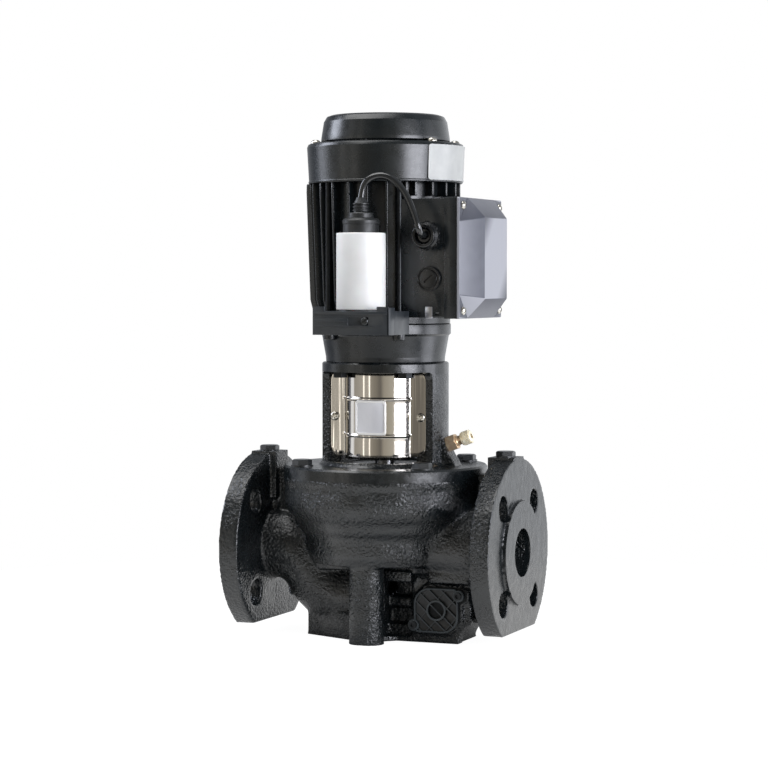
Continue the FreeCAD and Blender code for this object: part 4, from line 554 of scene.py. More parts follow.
pieces.append(ring(hub_centre, hub_radius, hub_hole, cover_front + 0.0003, cover_back))
pieces.append(slanted(block((cover_x - 0.0070, cover_front + 0.0007, cover_z - rib_half),
                            (cover_x + 0.0070, cover_front + 0.0020, cover_z + rib_half), 0.0001)))
for side in (-1, 1):
    ear_centre = (cover_x + side * ear_x, 0, cover_z + side * ear_z)
    ear = ring(ear_centre, 0.0043, 0.0018, cover_front - 0.0004, cover_back)
    ease(ear, 0.0003)
    pieces.append(ear)
cover = join(pieces)

# moulded nylon is matt; painted shade darkens it with depth, from grey front faces to near black behind the
# ribs
nylon, tree, shader, place = surface("glass_filled_black_nylon", "#24282a", 0.46, grain=(0.6, 0.03),
                                     gloss=(4, 0.38, 0.54))
depth = add_node(tree, "SeparateXYZ", inputs={"Vector": place}).outputs["Y"]
sunk = add_node(tree, "MapRange", inputs={
    "Value": depth, "From Min": cover_front + 0.0004, "From Max": floor_face - 0.0002,
    "To Min": 0.0, "To Max": 1.0})
# painted shade: the deeper a face lies behind the front, the darker it is coloured
painted_shade_by_depth = add_node(tree, "ValToRGB", inputs={"Fac": sunk},
                stops=[(0.1, "#33393c"), (0.5, "#202527"), (1.0, "#090b0b")])
tree.links.new(painted_shade_by_depth.outputs[0], shader.inputs["Base Color"])
finish(cover, "latticed_service_cover", "pump", nylon, ["service_cover"])


def dress(material, *names):
    """Gives a material to CAD nodes whose shape is right as it is."""
    for name in names:
        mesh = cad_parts[name].data
        mesh.materials.clear()
        mesh.materials.append(material)


# black oxide lets the steel's own shine through
black_oxide = surface("black_oxide_on_steel", "#16181a", 0.36, 0.6, (0.9, 0.03), (3, "#121415", "#202326"))[0]
dress(black_oxide, "service_cover_screws")

# gasket paper is dull and fibrous
paper_gasket = surface("fibre_gasket_paper", "#1b1d1d", 0.8, grain=(0.5, 0.05))[0]
dress(paper_gasket, "service_cover_gasket")


# Bolts and plugs of the housing
# Plain hexagon bolts and screwed plugs, forged steel, painted over with the casting. The corners
# of a forged head are cut back to a flat round top.
def hexagon_head(x, y, low, high, flats):
    """A forged hexagon head with its top corners cut back."""
    corner, top_radius = flats / 2 / math.cos(math.pi / 6), flats / 2 * 0.96
    bpy.ops.object.select_all(action="DESELECT")
    bpy.ops.mesh.primitive_cylinder_add(vertices=6, radius=corner, depth=high - low,
                                        location=(x, y, (low + high) / 2))
    bpy.ops.object.transform_apply(location=True, rotation=True, scale=True)
    head = bpy.context.object
    drop = (corner - top_radius) * math.tan(math.radians(30))
    dome = turn([(0, low - 0.001), (corner + 0.001, low - 0.001), (corner + 0.001, high - drop - 0.0006),
                 (top_radius, high), (0, high)], (x, y), 48)
    return combine(head, dome, "INTERSECT")


four_ways = [(-1, -1), (-1, 1), (1, -1), (1, 1)]


def four_places(radius, angle):
    """Places on a circle, the same angle either side of the X axis."""
    x, y = radius * math.cos(math.radians(angle)), radius * math.sin(math.radians(angle))
    return [(x_side * x, y_side * y) for x_side, y_side in four_ways]


bolts_low, bolts_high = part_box("cover_bolts")
disc_top = 0.1315
bolts = []
for x, y in four_places(0.068, 45):
    bolts.append(hexagon_head(x, y, disc_top + 0.0012, bolts_high.z, 0.013))
    bolts.append(ring((x, y, 0), 0.0083, 0.0042, disc_top, disc_top + 0.0012, "Z", 40))
    bolts.append(ring((x, y, 0), 0.0039, 0, bolts_low.z, disc_top + 0.001, "Z", 24))
# paint over a rough forging, with a soft gloss on top
bolt_paint, tree, shader, place = surface("black_paint_on_forged_steel", "#14171a", 0.34, grain=(1.2, 0.06),
                                          tones=(4, "#111416", "#1d2124"))
shader.inputs["Coat Weight"].default_value = 0.3
finish(join(bolts), "cover_bolt_set", "pump", bolt_paint, ["cover_bolts"])

plugs_low, plugs_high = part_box("gauge_plugs")
plug_seat = plugs_high.z - 0.0043
plug_x = plugs_high.x - 0.0075
plugs = []
for side in (-1, 1):
    plugs.append(hexagon_head(side * plug_x, 0, plug_seat + 0.0008, plugs_high.z, 0.013))
    plugs.append(ring((side * plug_x, 0, 0), 0.0073, 0, plug_seat, plug_seat + 0.0008, "Z", 40))
    plugs.append(ring((side * plug_x, 0, 0), 0.0044, 0, plugs_low.z, plug_seat, "Z", 24))
finish(join(plugs), "gauge_plug_pair", "pump", bolt_paint, ["gauge_plugs"])


# Motor stool
# The cover disc, two pillars and the top ring are one casting, painted with the housing. The disc
# and the ring are turned and smooth; the pillars keep the coarse skin of the sand.
pillar_side = 0.0172
window_top, window_foot = 0.202, 0.1345
wall_inner, wall_outer = 0.0425, 0.0479
corner = 0.0055
gussets = []
for y_side in (-1, 1):
    near, far = y_side * (pillar_side - 0.001), y_side * (pillar_side + corner)
    arc = [(far - y_side * corner * math.sin(a), window_top - corner * (1 - math.cos(a)))
           for a in (math.radians(15 * k) for k in range(7))]
    top_edge = [(near, window_top + 0.001), (far, window_top + 0.001)]
    gussets.append(prism(top_edge + arc + [(near, window_top - corner)], -0.06, 0.06, "X"))
wall = ring((0, 0, 0), wall_outer, wall_inner, window_foot, window_top + 0.001, "Z", 128)
gussets = combine(join(gussets), wall, "INTERSECT")


def stool_between(low, high):
    """The part of the stool between two heights."""
    slab = block((-0.1, -0.1, low), (0.1, 0.1, high))
    return combine(copy_of("motor_stool", "stool"), slab, "INTERSECT")


def stool_ends(co):
    return co.z < disc_top + 0.0005 or co.z > window_top - 0.0006


# the cast pillars stop short of the disc and the ring, whose crisp stubs overlap them
overlap = 0.0002
pillars = join([stool_between(disc_top + overlap, window_top - overlap), gussets])
cast(pillars, 0.00125, stool_ends, 4)
stool_low, stool_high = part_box("motor_stool")
stool = join([pillars, stool_between(stool_low.z - 0.001, disc_top + 3 * overlap),
              stool_between(window_top - 3 * overlap, stool_high.z + 0.001)])
stool_enamel = casting_enamel("black_enamel_on_cast_stool", 1.9, 0.55, turned_below=disc_top + 0.001,
                             turned_above=window_top - 0.001)
finish(stool, "cast_stool", "pump", stool_enamel, ["motor_stool"], 40)


# Coupling guards
# Two half bands of polished stainless sheet round the coupling, with two rolled beads and a flat
# wing on each side, held by a cross-slot screw in each wing.
guard_low, guard_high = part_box("coupling_guard_front")
band_radius, sheet = 0.0304, 0.001
wing_depth, wing_reach, wing_fillet = 0.0154, guard_high.x, 0.0025
bead_heights = (0.1541, 0.1816)
bead_half, bead_rise = 0.0012, 0.0008


def guard_path():
    """The sheet's middle line seen from above, as (x, y, how much bead it carries)."""
    fillet_x = math.sqrt((band_radius + wing_fillet) ** 2 - (wing_depth + wing_fillet) ** 2)
    end = math.atan2(wing_depth + wing_fillet, fillet_x)
    line = [(-wing_reach + step / 8 * (wing_reach - fillet_x), -wing_depth, 0) for step in range(9)]
    for step in range(1, 7):
        angle = math.pi / 2 - (math.pi / 2 - end) * step / 6
        line.append((-fillet_x + wing_fillet * math.cos(angle),
                     -wing_depth - wing_fillet + wing_fillet * math.sin(angle), step / 6))
    steps = 30
    for step in range(1, steps + 1):
        angle = math.pi + end + (math.pi / 2 - end) * step / steps
        line.append((band_radius * math.cos(angle), band_radius * math.sin(angle), 1))
    return line + [(-x, y, bead) for x, y, bead in reversed(line[:-1])]


def guard_rows():
    """Heights of the sheet's rows, closer together on the beads, with the bead's rise at each."""
    rows = [(guard_low.z + (guard_high.z - guard_low.z) * step / 14, 0.0) for step in range(15)]
    rows = [r for r in rows if all(abs(r[0] - b) > 1.6 * bead_half for b in bead_heights)]
    for bead in bead_heights:
        for step in range(-5, 6):
            share = step / 5
            rise = bead_rise * (0.5 + 0.5 * math.cos(math.pi * share))
            rows.append((bead + share * 1.25 * bead_half, rise))
    return sorted(rows)


def guard(name, side):
    """One half band, front (1) or rear (-1). Its wings are a little lower than the band, and their
    outer corners are round."""
    path, rows = guard_path(), guard_rows()
    corner_low, corner_high, inset = 0.0075, 0.005, 0.002
    points, faces = [], []
    for x, y, bead in path:
        beyond_low = max(0, abs(x) - (wing_reach - corner_low)) / corner_low
        beyond_high = max(0, abs(x) - (wing_reach - corner_high)) / corner_high
        lift = inset * (1 - bead) + corner_low * (1 - math.sqrt(max(0, 1 - beyond_low ** 2)))
        drop = corner_high * (1 - math.sqrt(max(0, 1 - beyond_high ** 2)))
        outward = Vector((x, y)).normalized() if bead else Vector((0, -1))
        for height, rise in rows:
            share = (height - guard_low.z) / (guard_high.z - guard_low.z)
            z = height + lift * (1 - share) - drop * share
            x_out, y_out = Vector((x, y)) + outward * rise * bead
            points.append((side * x_out, side * y_out, z))
    across = len(rows)
    for i in range(len(path) - 1):
        for a in range(i * across, (i + 1) * across - 1):
            faces.append((a, a + across, a + across + 1, a + 1))
    piece = clean(new_piece(name, points, [], faces))
    apply_modifier(piece, "SOLIDIFY", thickness=sheet, offset=0)
    ease(piece, 0.0002, 2, 60)
    return clean(piece)


# polished sheet mirrors the studio, drawn out along fine upright lines
polished_stainless, tree, shader, place = surface("polished_stainless_sheet", "#dcd7cf", 0.13, 1.0)
stretched = add_node(tree, "Mapping", inputs={"Vector": place, "Scale": (1, 1, 0.05)})
waves = add_node(tree, "TexNoise", inputs={"Vector": stretched, "Scale": per_metre(5), "Detail": 1.0})
lines = add_node(tree, "TexNoise", inputs={"Vector": stretched, "Scale": per_metre(0.5), "Detail": 2.0})
across = add_node(tree, "SeparateXYZ", inputs={"Vector": place}).outputs["X"]
away = add_node(tree, "Math", {"operation": "ABSOLUTE"}, {0: across})
on_wings = add_node(tree, "MapRange", inputs={
    "Value": away, "From Min": 0.0265, "From Max": 0.0285, "To Min": 0.12, "To Max": 1.0})
sheen = add_node(tree, "Bump", inputs={"Height": waves, "Strength": on_wings, "Distance": 0.0007})
# the screws pull the wings in, so that they face a little outwards, one more than the other
uneven = add_node(tree, "Math", {"operation": "MULTIPLY_ADD"}, {0: across, 1: 0.4, 2: away})
pulled = add_node(tree, "Math", {"operation": "MULTIPLY"}, {0: uneven, 1: -1.0})
sheen = add_node(tree, "Bump", inputs={
    "Height": pulled, "Strength": on_wings, "Distance": 0.195, "Normal": sheen})
sheen = add_node(tree, "Bump", inputs={
    "Height": lines, "Strength": 1.0, "Distance": 0.000006, "Normal": sheen})
tree.links.new(sheen.outputs[0], shader.inputs["Normal"])
polish = add_node(tree, "TexNoise", inputs={"Vector": stretched, "Scale": per_metre(1.2), "Detail": 2.0})
uneven_polish = add_node(tree, "MapRange", inputs={
    "Value": polish, "From Min": 0.3, "From Max": 0.7, "To Min": 0.06, "To Max": 0.13})
tree.links.new(uneven_polish.outputs[0], shader.inputs["Roughness"])
for name, side, node in (("front_coupling_guard", 1, "coupling_guard_front"),
                         ("rear_coupling_guard", -1, "coupling_guard_rear")):
    finish(guard(name, side), name, "pump", polished_stainless, [node], 30)


def cross_head(radius, rim, dome, slot, reach, slot_floor, facing, steps=40):
    """A domed screw head with a cross slot; facing lays it in its place."""
    arc = [(radius * math.sin(a), rim + dome * math.cos(a))
           for a in (math.radians(15 * k) for k in range(1, 7))]
    head = turn([(0, rim + dome)] + arc + [(radius, 0), (0, 0)], steps=steps)
    top = rim + 1.5 * dome
    head = cut(head, block((-reach, -slot, slot_floor), (reach, slot, top)))
    head = cut(head, block((-slot, -reach, slot_floor), (slot, reach, top)))
    head.data.transform(facing)
    return clean(head)


def facing_out(x, y, z, turned=0, side=-1):
    """The place of a piece that was spun about Z and now faces along -Y, or +Y."""
    tipped = Matrix.Rotation(math.radians(-90 * side), 4, "X")
    return Matrix.Translation((x, y, z)) @ tipped @ Matrix.Rotation(math.radians(turned), 4, "Z")


# bright zinc mirrors like pale steel, a little clouded
zinc = surface("bright_zinc_on_steel", "#c9c6bd", 0.24, 1.0, (0.7, 0.02), (2, "#b4afa4", "#d8d6cf"))[0]
wing_screw_x, wing_screw_z = 0.0348, 0.16785
wing_face, screw_tip = wing_depth + sheet / 2, 0.0089
screws = []
for y_side, x_side in four_ways:
    x = x_side * wing_screw_x
    screws.append(cross_head(0.0035, 0.000525, 0.001575, 0.000595, 0.00217, 0.000882,
                             facing_out(x, y_side * wing_face, wing_screw_z, 20, y_side)))
    screws.append(ring((x, 0, wing_screw_z), 0.0016, 0, y_side * (wing_face + 0.0003), y_side * screw_tip))
finish(join(screws), "guard_screw_set", "pump", zinc, ["guard_screws"])


# Badge
# A square plate of satin steel with round corners and a raised border, bent to the front guard and
# riveted on its beads. It is blank.
badge_low, badge_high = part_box("guard_badge")
badge_radius = 0.0317
badge_half_x, badge_half_z = 0.0125, 0.013
badge_middle = (badge_low.z + badge_high.z) / 2


def sliced(piece, axis, low, high, count):
    """Cuts a flat piece into strips so that it can bend."""
    normal = [0, 0, 0]
    normal[axis] = 1
    for step in range(1, count):
        place = [part * (low + (high - low) * step / count) for part in normal]
        edit(piece, bpy.ops.mesh.bisect, plane_co=place, plane_no=normal)


def badge_outline(inset, radius):
    return rounded(rectangle((0, badge_middle), badge_half_x - inset, badge_half_z - inset), radius)


badge_border, badge_floor = 0.0017, 0.0006
badge = prism(badge_outline(0, 0.0028), -badge_radius, -badge_radius - 0.0011, "Y")
well = prism(badge_outline(badge_border, 0.0022), -badge_radius - badge_floor, -badge_radius - 0.003, "Y")
badge = cut(badge, well)
ease(badge, 0.00022)
sliced(badge, 0, -badge_half_x, badge_half_x, 24)
for vertex in badge.data.vertices:
    out, angle = -vertex.co.y, vertex.co.x / badge_radius
    vertex.co.x, vertex.co.y = out * math.sin(angle), -out * math.cos(angle)
# blasting leaves an even satin, and the raised border is rubbed brighter
satin_steel, tree, shader, place = surface("bead_blasted_steel", "#d0cfcd", 0.4, 0.3, grain=(0.35, 0.03))
flat = add_node(tree, "VectorMath", {"operation": "MULTIPLY"}, {0: place, 1: (1, 1, 0)})
badge_out = add_node(tree, "VectorMath", {"operation": "LENGTH"}, {0: flat}).outputs["Value"]
on_border = add_node(tree, "MapRange", inputs={
    "Value": badge_out, "From Min": badge_radius + 0.0007, "From Max": badge_radius + 0.0009,
    "To Min": 0.0, "To Max": 1.0})
rubbed = add_node(tree, "ValToRGB", inputs={"Fac": on_border}, stops=[(0.2, "#dfdfe1"), (0.8, "#f8f6f1")])
tree.links.new(rubbed.outputs[0], shader.inputs["Base Color"])
finish(badge, "blank_badge", "pump", satin_steel, ["guard_badge"])


# Coupling and shaft seal
# Behind the guards two steel clamp halves grip both shafts with four socket screws. Below them the
# seal's lapped rings meet in the cover disc.
# grinding leaves fine rings round the shafts
ground_steel, tree, shader, place = surface("ground_steel", "#b3b4b6", 0.22, 1.0)
rings = add_node(tree, "Mapping", inputs={"Vector": place, "Scale": (0.02, 0.02, 1)})
ground = add_node(tree, "TexNoise", inputs={"Vector": rings, "Scale": per_metre(0.3), "Detail": 2.0})
scored = add_node(tree, "Bump", inputs={"Height": ground, "Strength": 1.0, "Distance": 0.00001})
tree.links.new(scored.outputs[0], shader.inputs["Normal"])
dress(ground_steel, "pump_shaft", "motor_shaft", "wear_ring", "impeller", "impeller_nut",
      "lower_bearing_outer", "lower_bearing_inner", "lower_bearing_cage",
      "upper_bearing_outer", "upper_bearing_inner", "upper_bearing_cage")
dress(zinc, "coupling_half_front", "coupling_half_rear", "capacitor_nut")
dress(black_oxide, "coupling_bolts", "motor_flange_screws", "tie_bolts")

# lapped alumina is ivory white and close to a gloss
lapped_ceramic = surface("lapped_alumina", "#ded8cb", 0.2, tones=(3, "#d6cfc0", "#e6e1d6"))[0]
dress(lapped_ceramic, "seal_seat", "seal_head")

# rubber from a plain mould is dull
moulded_rubber = surface("moulded_rubber", "#191a1b", 0.62, grain=(0.6, 0.03))[0]
dress(moulded_rubber, "seal_bellows", "housing_seal", "terminal_box_gasket")


# Air vent
# A turned brass vent, screwed slantwise into the disc's rim: a hexagon body, a plain neck, and a
# knurled cap that lifts the needle off its seat as it is unscrewed.
vent_place = Matrix.Translation((0.051, 0, 0.1475)) @ Matrix.Rotation(math.radians(70), 4, "Y")
vent_hexagon, vent_neck_end = 0.0075, 0.0111
cap_start, cap_end, cap_radius = 0.0115, 0.0195, 0.0053
vent_neck_radius, vent_bore = 0.0035, 0.0022


def toothed(centre, radius, depth, teeth, start, end, axis):
    """A wheel with small square teeth."""
    outline = []
    for step in range(teeth * 4):
        reach = radius - (depth if step % 4 in (0, 3) else 0)
        angle = 2 * math.pi * step / (teeth * 4)
        outline.append((centre[0] + reach * math.cos(angle), centre[1] + reach * math.sin(angle)))
    return prism(outline, start, end, axis)


vent = join([
    ring((0, 0, 0), 0.0047, 0, -0.0068, 0, "Z", 32),
    hexagon_head(0, 0, 0, vent_hexagon, 0.011),
    turn([(0, vent_hexagon - 0.001), (vent_neck_radius + 0.0006, vent_hexagon - 0.001),
          (vent_neck_radius + 0.0006, vent_hexagon + 0.0008), (vent_neck_radius, vent_hexagon + 0.0014),
          (vent_neck_radius, vent_neck_end), (vent_bore, vent_neck_end), (vent_bore, vent_neck_end - 0.008),
          (0, vent_neck_end - 0.008)], steps=40)])
vent.data.transform(vent_place)
clean(vent)
# turned brass has a soft warm shine; the cap is painted a lighter brass than the body, a painted highlight
brass = surface("turned_brass", "#e2c6a2", 0.34, 0.6, (0.5, 0.02), (3, "#d6b48f", "#eed7b4"))[0]
finish(vent, "vent_valve_body", "pump", brass, ["vent_body"])

stem_hole = 0.00195
knurl = toothed((0, 0), cap_radius, 0.0004, 30, cap_start + 0.0012, cap_end - 0.0008, "Z")
knurl = cut(knurl, ring((0, 0, 0), stem_hole, 0, cap_start - 0.001, cap_end + 0.001, "Z", 32))
cap_foot = turn([(stem_hole, cap_start), (cap_radius - 0.0008, cap_start),
                 (cap_radius - 0.0004, cap_start + 0.0004), (cap_radius - 0.0004, cap_start + 0.0009),
                 (cap_radius - 0.0010, cap_start + 0.0013), (stem_hole, cap_start + 0.0013)], steps=60)
dome = turn([(stem_hole, cap_end - 0.0009), (cap_radius - 0.0005, cap_end - 0.0009),
             (cap_radius - 0.0006, cap_end - 0.0006), (cap_radius - 0.0014, cap_end),
             (stem_hole, cap_end)], steps=60)
cap = join([knurl, cap_foot, dome])
cap.data.transform(vent_place)
clean(cap)
# painted highlight: the cap's brass is coloured lighter than the body's
brass_painted_brighter = surface("brass_with_painted_highlight", "#fff4d8", 0.4, 0.3, (0.5, 0.02), (3, "#fbebc2", "#fffae6"))[0]
finish(cap, "vent_knurled_cap", "vent_knob", brass_painted_brighter, ["vent_cap"])
dress(brass, "vent_needle", "terminal_studs")


# Motor end shield
# A die-cast aluminium bell that stands on the stool's ring: a slightly flared cone, a turned band
# under the stator, and four lugs for the tie bolts. Satin black paint, like the whole motor.
def satin_paint(name, dark, light, roughness=0.28):
    """Sprayed satin enamel with a fine orange peel."""
    material, tree, shader, place = surface(name, dark, roughness, grain=(0.9, 0.02), tones=(18, dark, light),
                                            gloss=(7, roughness - 0.04, roughness + 0.05))
    shader.inputs["Specular IOR Level"].default_value = 0.6
    return material


def arc_profile(points, radius):
    """A closed outline to spin, with every corner rounded."""
    line = rounded(points, radius, 4)
    return line + line[:1]


stool_top, band_low, band_high = 0.209, 0.229, 0.238
shield_radius, cone_foot, cone_top = 0.0495, 0.045, 0.048
shaft_hole, spigot, rim_outer, rim_inner = 0.0099, 0.0342, 0.0465, 0.042
bearing_hole, bearing_wall, bearing_low, bearing_high, shield_floor = 0.0176, 0.0225, 0.2199, 0.231, 0.216
shield = turn(arc_profile([
    (shaft_hole, stool_top - 0.003), (spigot, stool_top - 0.003), (spigot, stool_top),
    (cone_foot, stool_top + 0.0001), (cone_foot + 0.0002, stool_top + 0.004), (cone_top, band_low),
    (shield_radius, band_low + 0.0015), (shield_radius, band_high), (rim_outer, band_high),
    (rim_outer, band_high + 0.004), (rim_inner, band_high + 0.004), (rim_inner, shield_floor),
    (bearing_wall, shield_floor), (bearing_wall, bearing_high), (bearing_hole, bearing_high),
    (bearing_hole, bearing_low), (shaft_hole, bearing_low)], 0.0006), steps=144)
tie_radius, tie_angle = 0.0519, 57
lugs = []
for x, y in four_places(tie_radius - 0.001, tie_angle):
    lug = ring((x, y, 0), 0.0045, 0, band_low - 0.003, band_high, "Z", 32)
    ease(lug, 0.0009, 3)
    lugs.append(lug)
shield = join([shield] + lugs)
motor_paint = satin_paint("satin_black_enamel_on_aluminium", "#0c1113", "#12171a")
finish(shield, "motor_end_bell", "pump", motor_paint, ["motor_end_shield"])


# Stator frame
# An extruded aluminium tube with cooling fins that stand out like rays, a flat pad on the suction
# side, and short fins over the terminal box. The fins are sawn slantwise at their lower ends.
stator_radius, stator_top = 0.049, 0.3434
fin_reach, fin_foot, fin_thick = 0.058, 0.243, 0.002
fin_pitch, fin_first, fin_count = 15, 52.5, 18
stator_bore, tube_foot = 0.0441, band_high + 0.0002
tube = turn(arc_profile([(stator_bore, tube_foot), (stator_radius, tube_foot),
                         (stator_radius, stator_top), (stator_bore, stator_top)], 0.0004), steps=144)
fin_shape = [(stator_radius - 0.001, fin_foot - 0.004), (0.0505, fin_foot), (0.0539, fin_foot + 0.013),
             (fin_reach - 0.001, stator_top - 0.006), (fin_reach - 0.0012, stator_top),
             (stator_radius - 0.001, stator_top)]
box_top = 0.3313
short_shape = [(stator_radius - 0.001, box_top + 0.0015), (fin_reach - 0.0012, box_top + 0.0015),
               (fin_reach - 0.0012, stator_top), (stator_radius - 0.001, stator_top)]
fins = [tube]
angles = [(fin_first + k * fin_pitch, fin_shape) for k in range(fin_count)]
angles += [((k - 3) * fin_pitch, short_shape) for k in range(7)]
for angle, shape in angles:
    fin = prism(shape, -fin_thick / 2, fin_thick / 2, "Y")
    ease(fin, 0.00055, 3)
    fins.append(edit(fin, bpy.ops.transform.rotate, value=math.radians(-angle), orient_axis="Z",
                     center_override=(0, 0, 0)))
pad_half = 0.0195
pad = prism([(-x, z) for x, z in fin_shape], -pad_half, pad_half, "Y")
ease(pad, 0.0008, 3)
# a small clip stands on the pad's edge, open above
clip_outline = rounded(rectangle((-0.0510, 0.33325), 0.0035, 0.00675), 0.001)
clip = prism(clip_outline, -pad_half - 0.0014, -pad_half + 0.001, "Y")
clip = cut(clip, block((-0.0532, -0.03, 0.3285), (-0.0489, -pad_half - 0.0004, 0.3402)))
finish(join(fins + [pad, clip]), "finned_stator_frame", "pump", motor_paint,
       ["stator_housing"])
dress(motor_paint, "rear_end_shield")



def layered(material, tree, shader, place, layer_mm, depth_mm):
    """Adds level layers, such as sheets or turns of wire, to a material."""
    layers = add_node(tree, "TexWave", {"bands_direction": "Z"}, {
        "Vector": place, "Scale": per_metre(layer_mm)})
    relief = add_node(tree, "Bump", inputs={
        "Height": layers.outputs["Fac"], "Strength": 1.0, "Distance": depth_mm / 1000})
    tree.links.new(relief.outputs[0], shader.inputs["Normal"])
    return material


# stacked sheets under varnish show as fine level lines, and the enamelled wire as copper brown turns
lamination = layered(*surface("varnished_electrical_steel", "#5e6062", 0.42, 0.8), 20, 0.05)
dress(lamination, "stator_core", "rotor_core")
enamelled_wire = layered(*surface("enamelled_copper_wire", "#8a4526", 0.35, 0.7,
                                  tones=(2, "#7a3b20", "#9a5230")), 30, 0.2)
dress(enamelled_wire, "stator_windings")
dress(nylon, "fan", "terminal_block")


# Fan cover and canopy
# Deep-drawn steel, sprayed satin black. The cover's lip is rolled under; the canopy stands on four
# posts over the intake, with a narrow gap below it. Four dome screws hold the cover.
cover_foot_radius, cover_top_radius, cover_top = 0.0581, 0.0593, 0.3735
steel_sheet, intake_radius = 0.0016, 0.040
inner_foot, inner_top = cover_foot_radius - steel_sheet, cover_top_radius - steel_sheet
lip_radius, roof_under = cover_foot_radius + 0.0002, cover_top - steel_sheet
hood = turn(arc_profile([
    (inner_foot, stator_top), (lip_radius, stator_top), (lip_radius, stator_top + 0.0014),
    (cover_foot_radius - 0.0002, stator_top + 0.0018), (cover_top_radius, cover_top - 0.0031),
    (cover_top_radius - 0.0009, cover_top - 0.0009), (cover_top_radius - 0.0031, cover_top),
    (intake_radius, cover_top), (intake_radius, roof_under), (cover_top_radius - 0.0034, roof_under),
    (inner_top, cover_top - 0.0036), (inner_foot, stator_top + 0.002)], 0.0007), steps=160)
cover_paint = satin_paint("satin_black_enamel_on_drawn_steel", "#0b1113", "#11171a", 0.27)
finish(hood, "drawn_fan_cover", "pump", cover_paint, ["fan_cover"])

canopy_foot, canopy_top = cover_top + 0.0012, 0.3947
canopy_radius, canopy_top_radius, canopy_sheet = 0.0488, 0.046, 0.0024
canopy_under, shoulder_radius = canopy_top - canopy_sheet, canopy_top_radius + 0.0006
canopy = turn(arc_profile([
    (canopy_radius - canopy_sheet, canopy_foot), (canopy_radius, canopy_foot),
    (canopy_radius - 0.0003, canopy_foot + 0.003), (shoulder_radius, canopy_top - 0.005),
    (canopy_top_radius - 0.0016, canopy_top - 0.0012), (canopy_top_radius - 0.005, canopy_top),
    (0, canopy_top), (0, canopy_under), (canopy_top_radius - 0.0054, canopy_under),
    (shoulder_radius - canopy_sheet, canopy_top - 0.0054)], 0.0008)[:-1], steps=160)
post_reach = canopy_top_radius - 0.004
posts = [ring((post_reach * x, post_reach * y, 0), 0.003, 0, cover_top, canopy_under, "Z", 24)
         for x, y in ((1, 0), (0, 1), (-1, 0), (0, -1))]
finish(join([canopy] + posts), "intake_canopy", "pump", cover_paint, ["fan_cover_cap"])

cover_screw_tip = 0.3454
screws = []
for x, y in four_places(0.0528, 27.8):
    facing_up = Matrix.Translation((x, y, cover_top)) @ Matrix.Rotation(math.radians(25), 4, "Z")
    screws.append(cross_head(0.00375, 0.0004, 0.0026, 0.0005, 0.0026, 0.0017, facing_up))
    screws.append(ring((x, y, 0), 0.0024, 0, cover_screw_tip, cover_top, "Z", 24))
finish(join(screws), "fan_cover_screw_set", "pump", zinc, ["fan_cover_screws"])


# Rating plate
# A thin printed foil plate, bent round the fan cover. It is left blank, with only a fine border.
plate_low, plate_high, plate_half = 0.3448, 0.371, math.radians(36)
plate_gap, foil = 0.0002, 0.0006
slope = (cover_top_radius - cover_foot_radius) / (cover_top - 0.003 - stator_top)
plate_middle = (0, (plate_low + plate_high) / 2)
half_length, half_height = plate_half * cover_foot_radius, (plate_high - plate_low) / 2
border, printed_depth = 0.0014, 0.0002
plate = prism(rounded(rectangle(plate_middle, half_length, half_height), 0.0022), 0, foil, "X")
printed = rounded(rectangle(plate_middle, half_length - border, half_height - border), 0.0014)
plate = cut(plate, prism(printed, foil - printed_depth, foil + 0.001, "X"))
sliced(plate, 1, -half_length, half_length, 64)
for vertex in plate.data.vertices:
    out = cover_foot_radius + plate_gap + slope * (vertex.co.z - stator_top) + vertex.co.x
    angle = vertex.co.y / cover_foot_radius
    vertex.co.x, vertex.co.y = out * math.cos(angle), out * math.sin(angle)
# lacquered foil is an even pale grey
foil_print = surface("lacquered_aluminium_foil", "#b0b1ae", 0.4, 0.1, (3, 0.02),
                     (10, "#acadaa", "#b6b7b3"))[0]
finish(plate, "blank_rating_plate", "pump", foil_print, ["data_plate"])


# Terminal box
# A die-cast box that saddles the stator, open under its lid. A bare aluminium earth tab and two square
# core marks sit low on its front; the cable enters through a gland, and a plug closes the second hole.
box_inner, box_step, box_front, box_floor = 0.030, 0.064, 0.0735, 0.056
box_half, box_low, box_high = 0.046, 0.2424, 0.3313
box_rim, box_wall = 0.0008, 0.0038


def box_block(x_low, x_high, inset, round_edges=0):
    """A block between two distances from the axis, this far inside the box's outline."""
    return block((x_low, -box_half + inset, box_low + inset), (x_high, box_half - inset, box_high - inset),
                 round_edges)


box = combine(box_block(box_inner, box_step + 0.001, box_rim, 0.0009),
              box_block(box_step, box_front, 0, 0.0007), "UNION")
box = cut(box, ring((0, 0, 0), stator_radius + 0.0001, 0, box_low - 0.01, box_high + 0.01, "Z", 144))
box = cut(box, box_block(box_floor, box_front + 0.01, box_wall))
# deeper wells either side of the stator
for y_side in (-1, 1):
    near, far = sorted((y_side * (box_half - 0.013), y_side * (box_half - box_wall)))
    box = cut(box, block((0.042, near, box_low + 0.015), (box_floor + 0.001, far, box_high - 0.015)))
front_y, mark = -box_half + box_rim, 0.0015
for x, z in ((0.0446, 0.2457), (0.0587, 0.2465)):
    box = cut(box, block((x - mark, front_y - 0.001, z - mark), (x + mark, front_y + 0.0012, z + mark)))
box = cut(box, ring((0.0534, 0, 0.303), 0.00925, 0, box_half - 0.006, box_half + 0.002))
screw_y, screw_z = box_half - 0.006, (box_high - box_low) / 2 - 0.006
box_middle = (box_low + box_high) / 2
lid_screw_places = [(y_side * screw_y, box_middle + z_side * screw_z) for y_side, z_side in four_ways]
posts = [ring((0, y, z), 0.005, 0.002, box_floor, box_front - 0.0001, "X", 32) for y, z in lid_screw_places]
finish(join([box] + posts), "terminal_housing", "pump", motor_paint, ["terminal_box"])

tab = block((0.0493, front_y - 0.0006, 0.2426), (0.0549, front_y + 0.0004, 0.2512), 0.0003)
